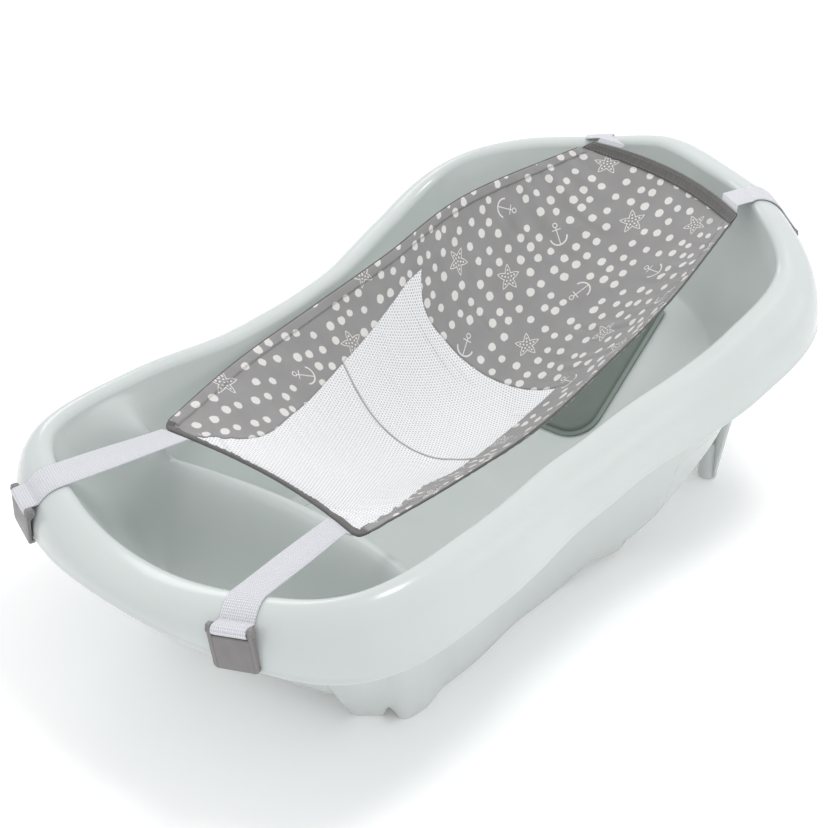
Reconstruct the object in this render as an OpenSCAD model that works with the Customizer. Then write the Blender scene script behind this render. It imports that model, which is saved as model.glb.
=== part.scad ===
// Baby bathtub with a padded recline and a fabric sling hung from its rim by four webbing straps.
// +X points to the head end, +Y to the far side, +Z up; the origin is on the floor under the middle.

/* [Tub] */
// Length of the tub over its rim
tub_length = 740; // [700:5:780]
// Thickness of the moulded shell
wall = 3; // [2.5:0.5:4]
// Height of the foot basin floor above the ground
foot_floor = 18; // [16:1:22]
// Height of the seat floor above the ground
seat_floor = 8; // [7:1:10]
// Slope of the recline, in degrees
recline_angle = 34; // [30:1:38]
// Height of the crotch ridge at the middle of the tub
ridge_top = 100; // [80:1:110]
// Half thickness of the crotch ridge
ridge_half = 27; // [22:1:32]

/* [Drain] */
// Bore of the drain in the foot basin floor
drain_bore = 26; // [20:1:30]
// Play between the plug and the bore, on the radius
plug_play = 0.4; // [0.3:0.05:0.6]

/* [Back pad] */
// Width of the foam pad on the recline
pad_width = 110; // [80:5:130]
// Length of the pad, up the slope
pad_length = 160; // [120:5:170]
// Thickness of the pad
pad_thick = 6; // [4:0.5:8]

/* [Sling] */
// Thickness of the sling cloth
cloth = 2; // [1.5:0.5:3]
// Depth of the seat of the sling below its side edges
seat_sag = 96; // [80:1:105]
// Width of the folded tape on the head edge
tape_width = 11; // [9:0.5:14]

/* [Straps and clips] */
// Width of the webbing
web_width = 28; // [22:1:30]
// Thickness of the webbing
web_thick = 1.6; // [1.2:0.1:2]
// Height of a clip
clip_height = 36; // [34:1:38]
// How far a clip's hook reaches under the rim
hook_reach = 1.2; // [0.8:0.1:1.4]

/* [Hidden] */
$fn = 48;

mint = [0.80, 0.85, 0.83];
grey_cloth = [0.64, 0.64, 0.65];
dark_tape = [0.45, 0.45, 0.45];
white_mesh = [0.93, 0.93, 0.93];
web_white = [0.95, 0.95, 0.97];
clip_grey = [0.47, 0.46, 0.46];
pad_green = [0.45, 0.49, 0.46];

// Rim tables run from the head end to the foot end, and the other side of the tub mirrors them.
// The first two have a value every 15 degrees, the other two every 30 degrees.
lip_radius = [370, 352, 328, 311, 254, 214, 198, 203, 226, 284, 361, 370, 370];
crest_height = [280, 271, 263, 237, 207, 189, 182, 177, 175, 176, 172, 157, 148];
rim_width = [50, 36, 31, 27, 27, 24, 26];
rim_drop = [57, 58, 50, 42, 42, 47, 18];
// Height of the lower edge of the side wall, every 15 degrees
skirt_height = [146, 118, 76, 38, 18, 4, 2, 2, 2, 2, 3, 12, 12];
// Where the wall meets the floor, as a share of the way out to the rim, every 30 degrees
base_share = [0.93, 0.92, 0.84, 0.79, 0.79, 0.785, 0.78];

stations = 72;          // stations round the tub
throat_radius = 8;      // round at the inner edge of the rim
skirt_gap = 4;          // how far the side wall stands outside the floor's edge
recline_start = 75;     // where the recline leaves the seat floor
foot_limit = -175;      // where the ridge stands, at the middle
head_leg = [32.5, 7.5];     // the head legs: their angle and half their angle across the top
// Feet under the shell: x, y on either side, radius and height
feet = [[-222, 98, 15, 21], [-192, 119, 12, 24], [219, 137, 9, 40]];
// Rails under the seat: from x to x, y on either side, width and height
rail = [-190, 37, 119, 9, 8];
drain_at = [-245, 0];

// A value from a table that runs from 0 to 180 degrees and is mirrored after it.
function entry(t, i) = let(n = len(t) - 1, k = ((i % (2 * n)) + 2 * n) % (2 * n)) t[k <= n ? k : 2 * n - k];
function smooth(t, a) =
    let(u = a * (len(t) - 1) / 180, i = floor(u), f = u - i,
        p = entry(t, i - 1), q = entry(t, i), r = entry(t, i + 1), s = entry(t, i + 2))
    q + 0.5 * f * (r - p + f * (2 * p - 5 * q + 4 * r - s + f * (3 * (q - r) + s - p)));

stretch = tub_length / 740;
function lip_point(a) = let(r = smooth(lip_radius, a)) [stretch * r * cos(a), r * sin(a)];
function unit(v) = v / norm(v);
// Outward normal of the rim in plan
function outward(a) = let(d = lip_point(a + 1) - lip_point(a - 1)) unit([d[1], -d[0]]);
function crest_z(a) = smooth(crest_height, a);
// A point of the rim's section: out from the crest by x and up by z
function rim_point(a, x, z) =
    let(p = lip_point(a) + (x - smooth(rim_width, a)) * outward(a)) [p[0], p[1], crest_z(a) + z];
// The outer roll, from the crest at turn 0 to the lip at turn 90, set in by an inset
function roll(a, turn, inset) =
    let(w = smooth(rim_width, a) - inset, h = smooth(rim_drop, a) - inset)
    rim_point(a, w * sin(turn), -inset - h * (1 - cos(turn)));
function throat(a, turn, inset) =
    let(r = throat_radius - inset) rim_point(a, -r * sin(turn), -throat_radius + r * cos(turn));

function soft_max(p, q, r) = (p + q + sqrt((p - q) * (p - q) + r * r)) / 2;
// Height of the floor, with the recline and the ridge
function recline_z(x) = seat_floor + (x - recline_start) * tan(recline_angle);
function ridge_line(y) = foot_limit - 46 * pow(abs(y) / 150, 2.5);
function ridge_rise(x, y) =
    let(d = abs(x - ridge_line(y)) / ridge_half) exp(-pow(d, 2.2));
function floor_z(x, y) =
    let(level = x < ridge_line(y) ? foot_floor : seat_floor,
        ground = soft_max(level, recline_z(x), 14),
        top = ridge_top + 22 * pow(abs(y) / 150, 3))
    ground + (top - ground) * ridge_rise(x, y);
// A point of the inside: out from the middle by a share of the way to the rim's throat,
// and up from the floor by a climb that is 0 on the floor and 1 at the throat
function inside(a, share, climb) =
    let(top = throat(a, 90, 0), x = share * top[0], y = share * top[1], z = floor_z(x, y))
    [x, y, z + (top[2] - z) * climb];
// Share of the way over the floor at which a ray meets the ridge, near the foot end
function ridge_share(a) =
    let(way = throat(a, 90, 0) * smooth(base_share, a),
        guess = way[0] > -120 ? 1 : ridge_line(0) / way[0],
        second = way[0] > -120 ? 1 : ridge_line(guess * way[1]) / way[0])
    min(second, 0.9);
inner_rings = 13;
outer_rings = 9;
floor_rings = inner_rings + outer_rings;
// Rings crowd together towards the ridge, and one of them runs along it
function ring_share(a, k) =
    let(r = ridge_share(a), crowd = 1.6)
    k < inner_rings ? r * (1 - pow(1 - k / inner_rings, crowd))
                    : r + (1 - r) * pow((k - inner_rings) / outer_rings, 1.2);
function on_floor(a, part) = inside(a, part * smooth(base_share, a), 0);
// The wall leaves the floor in a curve and is straight higher up
function on_wall(a, part) =
    let(base = smooth(base_share, a), curve = 0.2)
    inside(a, base + part * (1 - base),
        (sqrt(part * part + curve * curve) - curve) / (sqrt(1 + curve * curve) - curve));
// The wall reaches down to the ground at the head legs
function leg_reach(a) =
    let(turn = abs((a % 360 + 540) % 360 - 180), d = (turn - head_leg[0]) / head_leg[1])
    max(0, 1 - pow(d, 4));
// The outside of the wall runs straight from the rim's throat to the skirt's lower edge
function skirt_edge(a, set_in) =
    let(top = throat(a, 90, 0), way = [top[0], top[1]],
        edge = smooth(base_share, a) * way + (skirt_gap - set_in) * unit(way))
    [edge[0], edge[1], smooth(skirt_height, a) * (1 - leg_reach(a))];
function outer_wall(a, part) =
    let(p = throat(a, 90, wall), q = skirt_edge(a, 0)) p + part * (q - p);
function under_floor(a, part) = on_floor(a, part) - [0, 0, wall];

turns = [for (i = [0:stations - 1]) -360 * i / stations];
shell_rings = concat(
    [for (k = [1:floor_rings]) [for (a = turns) on_floor(a, ring_share(a, k))]],
    [for (part = [0.15, 0.35, 0.6, 1]) [for (a = turns) on_wall(a, part)]],
    [for (t = [60, 30]) [for (a = turns) throat(a, t, 0)]],
    [for (t = [0:15:90]) [for (a = turns) roll(a, t, 0)]],
    [for (t = [90:-18:0]) [for (a = turns) roll(a, t, wall)]],
    [for (t = [45, 90]) [for (a = turns) throat(a, t, wall)]],
    [for (part = [0.5, 1]) [for (a = turns) outer_wall(a, part)]],
    [[for (a = turns) skirt_edge(a, wall)]],
    [for (k = [floor_rings - 1:-1:1]) [for (a = turns) under_floor(a, ring_share(a, k))]]);

// A closed skin over rings of equal length, with a point at each end
module ring_skin(rings, first, last) {
    n = len(rings[0]);
    m = len(rings);
    points = concat([first], [for (r = rings) each r], [last]);
    end = len(points) - 1;
    faces = concat(
        [for (i = [0:n - 1]) [0, 1 + i, 1 + (i + 1) % n]],
        [for (k = [0:m - 2], i = [0:n - 1]) let(a = 1 + k * n, b = a + n, j = (i + 1) % n)
            each [[a + i, b + i, b + j], [a + i, b + j, a + j]]],
        [for (i = [0:n - 1]) [end, end - n + (i + 1) % n, end - n + i]]);
    polyhedron(points, faces);
}

module tub_shell() color(mint) difference() {
    union() {
        ring_skin(shell_rings, [0, 0, floor_z(0, 0)], [0, 0, floor_z(0, 0) - wall]);
        for (side = [-1, 1]) {
            for (p = feet) translate([p[0], side * p[1], 0]) cylinder(r = p[2], h = p[3]);
            translate([rail[0], side * rail[2] - rail[3] / 2, 0])
                cube([rail[1] - rail[0], rail[3], rail[4]]);
        }
        translate([drain_at[0], drain_at[1], foot_floor - 2 * wall])
            cylinder(d = drain_bore + 4 * wall, h = 2 * wall - 0.5);
    }
    translate([drain_at[0], drain_at[1], -1]) cylinder(d = drain_bore, h = foot_floor + 10);
}

// The plug's flange sits this far above the basin floor, and its pull loop stands on it
plug_seat = 1.1;
flange_thick = 2.5;
module drain_plug() color(clip_grey) translate([drain_at[0], drain_at[1], foot_floor]) {
    translate([0, 0, -2 * wall])
        cylinder(r = drain_bore / 2 - plug_play, h = 2 * wall + plug_seat + flange_thick / 2);
    translate([0, 0, plug_seat]) cylinder(r = drain_bore / 2 + 2.5, h = flange_thick);
    translate([0, 0, plug_seat + flange_thick - 0.4]) rotate([90, 0, 0])
        rotate_extrude(angle = 180) translate([7, 0]) circle(r = 1.6);
}

// The pad lies on the recline: x runs up the slope from its lower edge
pad_gap = 1.8;
pad_corner = 30;
pad_start = 128;
module on_recline(x) {
    translate([x, 0, recline_z(x)]) rotate([0, -recline_angle, 0]) translate([0, 0, pad_gap]) children();
}
module back_pad() color(pad_green) on_recline(pad_start) linear_extrude(pad_thick) union() {
    for (side = [-1, 1])
        translate([pad_corner, side * (pad_width / 2 - pad_corner)]) circle(r = pad_corner);
    translate([0, -pad_width / 2 + pad_corner]) square([pad_length, pad_width - 2 * pad_corner]);
    translate([pad_corner, -pad_width / 2]) square([pad_length - pad_corner, pad_width]);
}

// The sling's side edges from the foot to the head, its sag below them, and the bow of its ends
near_edge = [[-228, -95, 148], [-133, -102, 148], [-38, -112, 158], [58, -112, 175], [150, -116, 203],
    [233, -127, 258]];
far_edge = [[-214, 127, 148], [-116, 146, 160], [-18, 149, 176], [80, 146, 196], [178, 129, 231],
    [274, 50, 277]];
sag = [0.05, 0.47, 0.85, 1, 0.65, 0];
bow = [16, 4, 0, 0, 6, 22];

// A value or point of an open table at a share of its length
function held(t, i) =
    let(n = len(t) - 1) i < 0 ? 2 * t[0] - t[1] : i > n ? 2 * t[n] - t[n - 1] : t[i];
function along(t, u) =
    let(n = len(t) - 1, i = min(floor(u * n), n - 1), f = u * n - i,
        p = held(t, i - 1), q = held(t, i), r = held(t, i + 1), s = held(t, i + 2))
    q + 0.5 * f * (r - p + f * (2 * p - 5 * q + 4 * r - s + f * (3 * (q - r) + s - p)));
// The cloth at u from foot (0) to head (1) and v from the near edge (-1) to the far edge (1)
function sling(u, v) =
    (1 - v) / 2 * along(near_edge, u) + (1 + v) / 2 * along(far_edge, u)
    + [along(bow, u) * (1 - v * v), 0, -seat_sag * along(sag, u) * (1 - pow(abs(v), 2.2))];
step = 0.01;
function along_u(u, v) = unit(sling(u + step, v) - sling(u - step, v));
function along_v(u, v) = unit(sling(u, min(v + step, 1)) - sling(u, max(v - step, -1)));
function upward(u, v) = unit(cross(along_u(u, v), along_v(u, v)));

// Seams of the sling: inner edges of the wings, and the lower edge of the back panel
near_seam = [-0.96, -0.82, -0.56, -0.4, -0.33, -0.44];
far_seam = [0.78, 0.54, 0.6, 0.71, 0.79, 0.87];
back_seam = [0.7, 0.69, 0.675, 0.665, 0.655, 0.645, 0.635, 0.632, 0.7];
mid_seam = 0.41;
seam_gap = 0.004;
edge_margin = 0.016;

// A sheet over a grid of surface places, as thick as the cloth
module sheet(grid) {
    m = len(grid);
    n = len(grid[0]);
    function skin(side) = [for (row = grid) each
        [for (g = row) sling(g[0], g[1]) + side * cloth / 2 * upward(g[0], g[1])]];
    points = concat(skin(1), skin(-1));
    lower = m * n;
    function quad(a, b, c, d) = [[a, b, c], [a, c, d]];
    faces = concat(
        [for (i = [0:m - 2], j = [0:n - 2]) let(a = i * n + j) each quad(a, a + 1, a + n + 1, a + n)],
        [for (i = [0:m - 2], j = [0:n - 2]) let(a = lower + i * n + j)
            each quad(a, a + n, a + n + 1, a + 1)],
        [for (j = [0:n - 2], i = [0, m - 1]) let(a = i * n + j)
            each i == 0 ? quad(a, a + lower, a + lower + 1, a + 1)
                        : quad(a, a + 1, a + lower + 1, a + lower)],
        [for (i = [0:m - 2], j = [0, n - 1]) let(a = i * n + j)
            each j == 0 ? quad(a, a + n, a + n + lower, a + lower)
                        : quad(a, a + lower, a + n + lower, a + n)]);
    polyhedron(points, faces);
}
function mix(a, b, t) = a + t * (b - a);
function near_inner(u) = along(near_seam, min(u / 0.7, 1)) - 0.008;
function far_inner(u) = along(far_seam, min(u / 0.62, 1)) + 0.008;
function back_from(v) = along(back_seam, (v + 1) / 2);
inset_v = 1 - edge_margin;

module back_panel() color(grey_cloth)
    sheet([for (i = [0:8]) [for (j = [0:12]) let(v = mix(-inset_v, inset_v, j / 12))
        [mix(back_from(v) + seam_gap, 1 - 0.011, i / 8), v]]]);
module near_wing() color(grey_cloth)
    sheet([for (i = [0:12]) [for (j = [0:4]) let(u = mix(0.012, mix(0.692, 0.664, j / 4), i / 12))
        [u, mix(-inset_v, near_inner(u), j / 4)]]]);
module far_wing() color(grey_cloth)
    sheet([for (i = [0:12]) [for (j = [0:4]) let(u = mix(0.012, mix(0.62, 0.69, j / 4), i / 12))
        [u, mix(far_inner(u), inset_v, j / 4)]]]);
function seat_place(u, t) = [u, mix(near_inner(u) + 0.016, far_inner(u) - 0.016, t)];
module seat_mesh_lower() color(white_mesh)
    sheet([for (i = [0:8]) [for (j = [0:8]) seat_place(mix(0.012, mid_seam - seam_gap, i / 8), j / 8)]]);
module seat_mesh_upper() color(white_mesh)
    sheet([for (i = [0:6]) [for (j = [0:8])
        let(v = seat_place(mix(mid_seam, 0.63, i / 6), j / 8)[1])
        [mix(mid_seam + seam_gap, back_from(v) - seam_gap, i / 6), v]]]);

// Tape folded over an end of the sling; end is 1 at the head and 0 at the foot
tape_sheet = 0.9;
tape_half = cloth / 2 + 0.5 + tape_sheet;
module folded_tape(end, width) {
    way = 2 * end - 1;
    h = tape_half;
    s = tape_sheet;
    outline = [[-width, h], [0, h], [0, -h], [-width, -h],
        [-width, s - h], [-s, s - h], [-s, h - s], [-width, h - s]];
    bays = 16;
    sections = [for (i = [0:bays]) let(v = mix(-0.995, 0.995, i / bays)) [for (q = outline)
        sling(end, v) + way * q[0] * along_u(end, v) + way * q[1] * upward(end, v)]];
    n = len(outline);
    caps = [[0, 1, 6, 7], [1, 2, 5, 6], [2, 3, 4, 5]];
    last = bays * n;
    faces = concat(
        [for (c = caps) each [[c[0], c[1], c[2]], [c[0], c[2], c[3]]]],
        [for (c = caps) each [[last + c[2], last + c[1], last + c[0]], [last + c[3], last + c[2], last + c[0]]]],
        [for (k = [0:bays - 1], i = [0:n - 1]) let(a = k * n, b = a + n, j = (i + 1) % n)
            each [[a + j, a + i, b + i], [a + j, b + i, b + j]]]);
    polyhedron([for (c = sections) each c], faces);
}
module head_tape() color(dark_tape) folded_tape(1, tape_width);
module foot_tape() color(dark_tape) folded_tape(0, 9);

// A round rod along a row of places, each with two directions across it
module rod(places, radius, sides = 8) {
    function ring(p) = [for (i = [0:sides - 1]) let(t = 360 * i / sides)
        p[0] + radius * (cos(t) * p[1] + sin(t) * p[2])];
    ring_skin([for (p = places) ring(p)], places[0][0], places[len(places) - 1][0]);
}
stay_radius = 1.2;
module head_stay() color(web_white) rod([for (i = [0:16]) let(v = mix(-0.98, 0.98, i / 16))
    [sling(1, v) - (tape_sheet + stay_radius + 0.3) * along_u(1, v), upward(1, v), along_u(1, v)]],
    stay_radius);
module piping(v) rod([for (i = [0:16]) let(u = mix(0.03, 0.97, i / 16))
    [sling(u, v), along_v(u, v), upward(u, v)]], 1.4);
module near_piping() color(dark_tape) piping(-1);
module far_piping() color(dark_tape) piping(1);

// The straps: where each crosses the rim, where it leaves the sling, and its turn round the throat
HEAD_NEAR = 0;
HEAD_FAR = 1;
FOOT_NEAR = 2;
FOOT_FAR = 3;
crossing = [-26.5, 13.5, 196, 161];
root_place = [[1, -0.84], [1, 0.84], [0, -0.82], [0, 0.86]];
throat_turn = [36, 14, 6, 6];
rim_play = 0.6;         // between the webbing and the rim

function crest_way(a) = rim_point(a + 1, 0, 0) - rim_point(a - 1, 0, 0);
function crest_rise(a) = let(d = crest_way(a)) atan2(d[2], norm([d[0], d[1]]));
function crossing_x(a) = let(o = outward(a)) [o[0], o[1], 0];
function crossing_y(a) =
    let(o = outward(a), r = crest_rise(a)) [-o[1] * cos(r), o[0] * cos(r), sin(r)];
function crossing_z(a) = cross(crossing_x(a), crossing_y(a));
function crossing_point(a, p) =
    rim_point(a, 0, 0) + p[0] * crossing_x(a) + p[1] * crossing_y(a) + p[2] * crossing_z(a);
module at_crossing(a) {
    translate(rim_point(a, 0, 0)) rotate([0, 0, atan2(outward(a)[1], outward(a)[0])])
        rotate([crest_rise(a), 0, 0]) children();
}

// The stretch of webbing from the sling up to the rim's crest
module strap(which) {
    a = crossing[which];
    half = web_width / 2;
    function over_throat(turn, back, lift) = let(r = throat_radius + rim_play + lift)
        [-r * sin(turn) - back, -throat_radius + r * cos(turn)];
    columns = 4;
    outline = concat([for (i = [0:columns]) [mix(-half, half, i / columns), 0]],
        [for (i = [columns:-1:0]) [mix(-half, half, i / columns), web_thick]]);
    function band(turn, back) = [for (q = outline)
        let(p = over_throat(turn, back, q[1])) crossing_point(a, [p[0], q[0], p[1]])];
    u = root_place[which][0];
    v = root_place[which][1];
    way = 2 * u - 1;
    root = [for (q = outline) sling(u, v) + 0.6 * way * along_u(u, v) + way * q[0] * along_v(u, v)
        + (q[1] - web_thick / 2) * lifted(u, v)];
    touch = band(throat_turn[which], 0);
    bays = 6;
    sections = concat([for (i = [0:bays]) mix(root, touch, i / bays)],
        [band(throat_turn[which] / 2, 0), band(0, 0.15)]);
    ring_skin(sections, middle(sections[0]), middle(sections[len(sections) - 1]));
}
function middle(ring) = let(n = len(ring)) [for (i = [0:n - 1]) 1] * ring / n;
function lifted(u, v) = let(n = upward(u, v)) n[2] < 0 ? -n : n;
module strap_head_near() color(web_white) strap(HEAD_NEAR);
module strap_head_far() color(web_white) strap(HEAD_FAR);
module strap_foot_near() color(web_white) strap(FOOT_NEAR);
module strap_foot_far() color(web_white) strap(FOOT_FAR);

// A clip and the end of its strap are drawn at the crossing: x out from the crest, z up
bar_radius = 1.8;
loop_play = 0.3;
hook_gap = 4.6;         // below the rim's edge, so that the hook swings clear
hook_thick = 2.4;
plate_gap = 1.2;
bar_below_top = 4;
clip_width = web_width + 8.4;
function bar_at(a) = [smooth(rim_width, a) + 1.4,
    clip_height - hook_gap - hook_thick - bar_below_top - smooth(rim_drop, a)];

module strap_end(which) {
    a = crossing[which];
    w = smooth(rim_width, a);
    h = smooth(rim_drop, a);
    bar = bar_at(a);
    middle_radius = bar_radius + loop_play + web_thick / 2;
    off = rim_play + web_thick / 2;
    leave = 42;         // turn at which the webbing leaves the rim for the bar
    curve = concat([[0.15, off]],
        [for (t = [7:7:leave]) let(n = unit([h * sin(t), w * cos(t)]))
            [w * sin(t), h * cos(t) - h] + off * n]);
    last = curve[len(curve) - 1];
    gap = bar - last;
    lean = atan2(gap[1], gap[0]) + asin(middle_radius / norm(gap));
    // The webbing runs straight to the bar and goes round it, down its outer side first
    line = concat(curve,
        [for (t = [0:19:285]) bar + middle_radius * [-sin(lean - t), cos(lean - t)]]);
    function side(i, k) =
        let(d = unit(line[min(i + 1, len(line) - 1)] - line[max(i - 1, 0)]))
        line[i] + k * web_thick / 2 * [-d[1], d[0]];
    rows = len(line) - 1;
    at_crossing(a) rotate([90, 0, 0]) translate([0, 0, -web_width / 2]) linear_extrude(web_width)
        polygon(concat([for (i = [0:rows]) side(i, 1)], [for (i = [rows:-1:0]) side(i, -1)]));
}
module strap_end_head_near() color(web_white) strap_end(HEAD_NEAR);
module strap_end_head_far() color(web_white) strap_end(HEAD_FAR);
module strap_end_foot_near() color(web_white) strap_end(FOOT_NEAR);
module strap_end_foot_far() color(web_white) strap_end(FOOT_FAR);

module clip(which) {
    a = crossing[which];
    w = smooth(rim_width, a);
    h = smooth(rim_drop, a);
    bar = bar_at(a);
    bottom = -h - hook_gap - hook_thick;
    inner = w + plate_gap;
    outer = inner + 2.6;
    plate_top = bar[1] - bar_radius - loop_play - web_thick - 0.6;
    cheek = 3;
    at_crossing(a) rotate([90, 0, 0]) {
        translate([0, 0, -clip_width / 2]) linear_extrude(clip_width)
            polygon([[w - hook_reach, bottom], [outer, bottom], [outer, plate_top], [inner, plate_top],
                [inner, bottom + hook_thick], [w - hook_reach, bottom + hook_thick]]);
        for (side = [-1, 1]) translate([0, 0, side * (clip_width - cheek) / 2 - cheek / 2])
            linear_extrude(cheek) polygon([[inner, bottom], [outer, bottom],
                [outer, bar[1] + bar_below_top], [bar[0] - 4, bar[1] + bar_below_top],
                [bar[0] - 4, bar[1] - 2], [inner, plate_top - 2]]);
        translate([bar[0], bar[1], -clip_width / 2 + 1]) cylinder(r = bar_radius, h = clip_width - 2);
    }
}
module clip_head_near() color(clip_grey) clip(HEAD_NEAR);
module clip_head_far() color(clip_grey) clip(HEAD_FAR);
module clip_foot_near() color(clip_grey) clip(FOOT_NEAR);
module clip_foot_far() color(clip_grey) clip(FOOT_FAR);

tub_shell();
drain_plug();
back_pad();
back_panel();
far_wing();
near_wing();
seat_mesh_upper();
seat_mesh_lower();
head_tape();
head_stay();
foot_tape();
near_piping();
far_piping();
strap_head_near();
strap_head_far();
strap_foot_near();
strap_foot_far();
strap_end_head_near();
strap_end_head_far();
strap_end_foot_near();
strap_end_foot_far();
clip_head_near();
clip_head_far();
clip_foot_near();
clip_foot_far();
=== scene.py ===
"""Looks of the baby bathtub: moulded shell, foam pad, drain plug, and the cloth sling on four clipped straps.

Shapes are worked out in millimetres, as in the CAD model, and meshes are made in metres.
"""
import math

import bmesh
import bpy
import numpy as np
from mathutils import Matrix, Vector


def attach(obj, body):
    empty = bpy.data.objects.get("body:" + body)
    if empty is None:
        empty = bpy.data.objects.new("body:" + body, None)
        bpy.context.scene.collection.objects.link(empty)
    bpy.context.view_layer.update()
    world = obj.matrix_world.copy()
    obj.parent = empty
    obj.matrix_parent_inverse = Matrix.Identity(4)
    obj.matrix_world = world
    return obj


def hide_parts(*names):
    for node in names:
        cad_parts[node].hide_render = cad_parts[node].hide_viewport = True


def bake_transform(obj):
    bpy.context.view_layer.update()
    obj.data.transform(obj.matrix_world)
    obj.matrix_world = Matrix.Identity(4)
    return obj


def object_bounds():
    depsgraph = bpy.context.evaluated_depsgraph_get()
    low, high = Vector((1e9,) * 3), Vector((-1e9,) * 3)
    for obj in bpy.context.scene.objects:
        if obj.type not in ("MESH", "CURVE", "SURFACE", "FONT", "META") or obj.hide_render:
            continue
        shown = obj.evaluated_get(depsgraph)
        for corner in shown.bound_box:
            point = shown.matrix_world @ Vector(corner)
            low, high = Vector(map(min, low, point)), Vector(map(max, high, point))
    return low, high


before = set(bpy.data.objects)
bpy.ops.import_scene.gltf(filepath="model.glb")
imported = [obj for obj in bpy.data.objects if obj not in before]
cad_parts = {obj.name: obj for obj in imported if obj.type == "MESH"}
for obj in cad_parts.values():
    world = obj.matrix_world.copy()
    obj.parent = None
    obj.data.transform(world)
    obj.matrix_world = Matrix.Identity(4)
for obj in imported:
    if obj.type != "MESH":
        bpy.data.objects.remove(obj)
cad_low, cad_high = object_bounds()
MM = 0.001
ENDS = ("head_near", "head_far", "foot_near", "foot_far")

# ---------------------------------------------------------------- camera, light, floor

CAMERA_PLACE = (-0.77411, -0.60561, 0.66715)
CAMERA_AZIMUTH, CAMERA_ELEVATION, CAMERA_ROLL = -49.914, 29.414, 0.157
CAMERA_LENS, SENSOR = 56.71, 36.0
LIGHTS = [("key", (0.3, -0.5, 2.2), 0.6, 12), ("back", (0.6, 1.9, 1.5), 0.9, 5), ("side", (1.6, -1.9, 0.9), 0.9, 1)]


def make_camera():
    data = bpy.data.cameras.new("camera")
    data.lens, data.sensor_width = CAMERA_LENS, SENSOR
    data.clip_start, data.clip_end = 0.05, 50
    camera = bpy.data.objects.new("camera", data)
    bpy.context.scene.collection.objects.link(camera)
    turn = Matrix.Rotation(math.radians(CAMERA_AZIMUTH), 4, "Z")
    tilt = Matrix.Rotation(math.radians(90 - CAMERA_ELEVATION), 4, "X")
    roll = Matrix.Rotation(math.radians(-CAMERA_ROLL), 4, "Z")
    camera.matrix_world = Matrix.Translation(CAMERA_PLACE) @ turn @ tilt @ roll
    bpy.context.scene.camera = camera


def area_light(name, place, target, size, watts):
    data = bpy.data.lights.new(name, "AREA")
    data.shape, data.size, data.energy = "DISK", size, watts
    lamp = bpy.data.objects.new(name, data)
    lamp.location = place
    way = Vector(target) - Vector(place)
    lamp.rotation_mode = "QUATERNION"
    lamp.rotation_quaternion = way.to_track_quat("-Z", "Y")
    bpy.context.scene.collection.objects.link(lamp)


def make_studio():
    scene = bpy.context.scene
    scene.view_settings.view_transform = "Standard"
    scene.view_settings.look = "None"
    world = bpy.data.worlds.new("studio")
    world.use_nodes = True
    sky = world.node_tree.nodes["Background"]
    sky.inputs["Color"].default_value = (0.98, 0.99, 1.0, 1)
    sky.inputs["Strength"].default_value = 0.9
    scene.world = world
    for name, place, size, watts in LIGHTS:
        area_light(name, place, (0.0, 0.0, 0.15), size, watts)
    bpy.ops.mesh.primitive_plane_add(size=40, location=(0, 0, 0))
    floor = bpy.context.object
    floor.name = "floor"
    floor.data.materials.append(floor_material())


# ---------------------------------------------------------------- shader helpers

def srgb(red, green, blue):
    """Linear colour of a display colour given as 0 to 255."""
    return tuple(((c / 255 + 0.055) / 1.055) ** 2.4 if c > 10 else c / 255 / 12.92 for c in (red, green, blue)) + (1,)


class Value:
    """A number that flows through math nodes, so that formulas can be written as formulas."""

    def __init__(self, shader, socket):
        self.shader, self.socket = shader, socket

    def _op(self, name, *others, clamp=False):
        node = self.shader.add("ShaderNodeMath")
        node.operation, node.use_clamp = name, clamp
        for place, item in enumerate((self, *others)):
            if isinstance(item, Value):
                self.shader.link(item.socket, node.inputs[place])
            else:
                node.inputs[place].default_value = item
        return Value(self.shader, node.outputs[0])

    def __add__(self, o): return self._op("ADD", o)
    def __sub__(self, o): return self._op("SUBTRACT", o)
    def __mul__(self, o): return self._op("MULTIPLY", o)
    def __truediv__(self, o): return self._op("DIVIDE", o)
    __radd__, __rmul__ = __add__, __mul__

    def below(self, limit, soft):
        """1 where this is below limit, 0 above it, with a soft edge of that width."""
        return ((self * -1 + limit) * (1 / soft) + 0.5)._op("ADD", 0, clamp=True)

    def abs(self): return self._op("ABSOLUTE")
    def sin(self): return self._op("SINE")
    def cos(self): return self._op("COSINE")
    def sqrt(self): return self._op("SQRT")
    def power(self, e): return self._op("POWER", e)
    def high(self, o): return self._op("MAXIMUM", o)
    def low(self, o): return self._op("MINIMUM", o)
    def arctan(self, x): return self._op("ARCTAN2", x)
    def fraction(self): return self._op("FRACT")
    def flip(self): return self * -1 + 1


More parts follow.
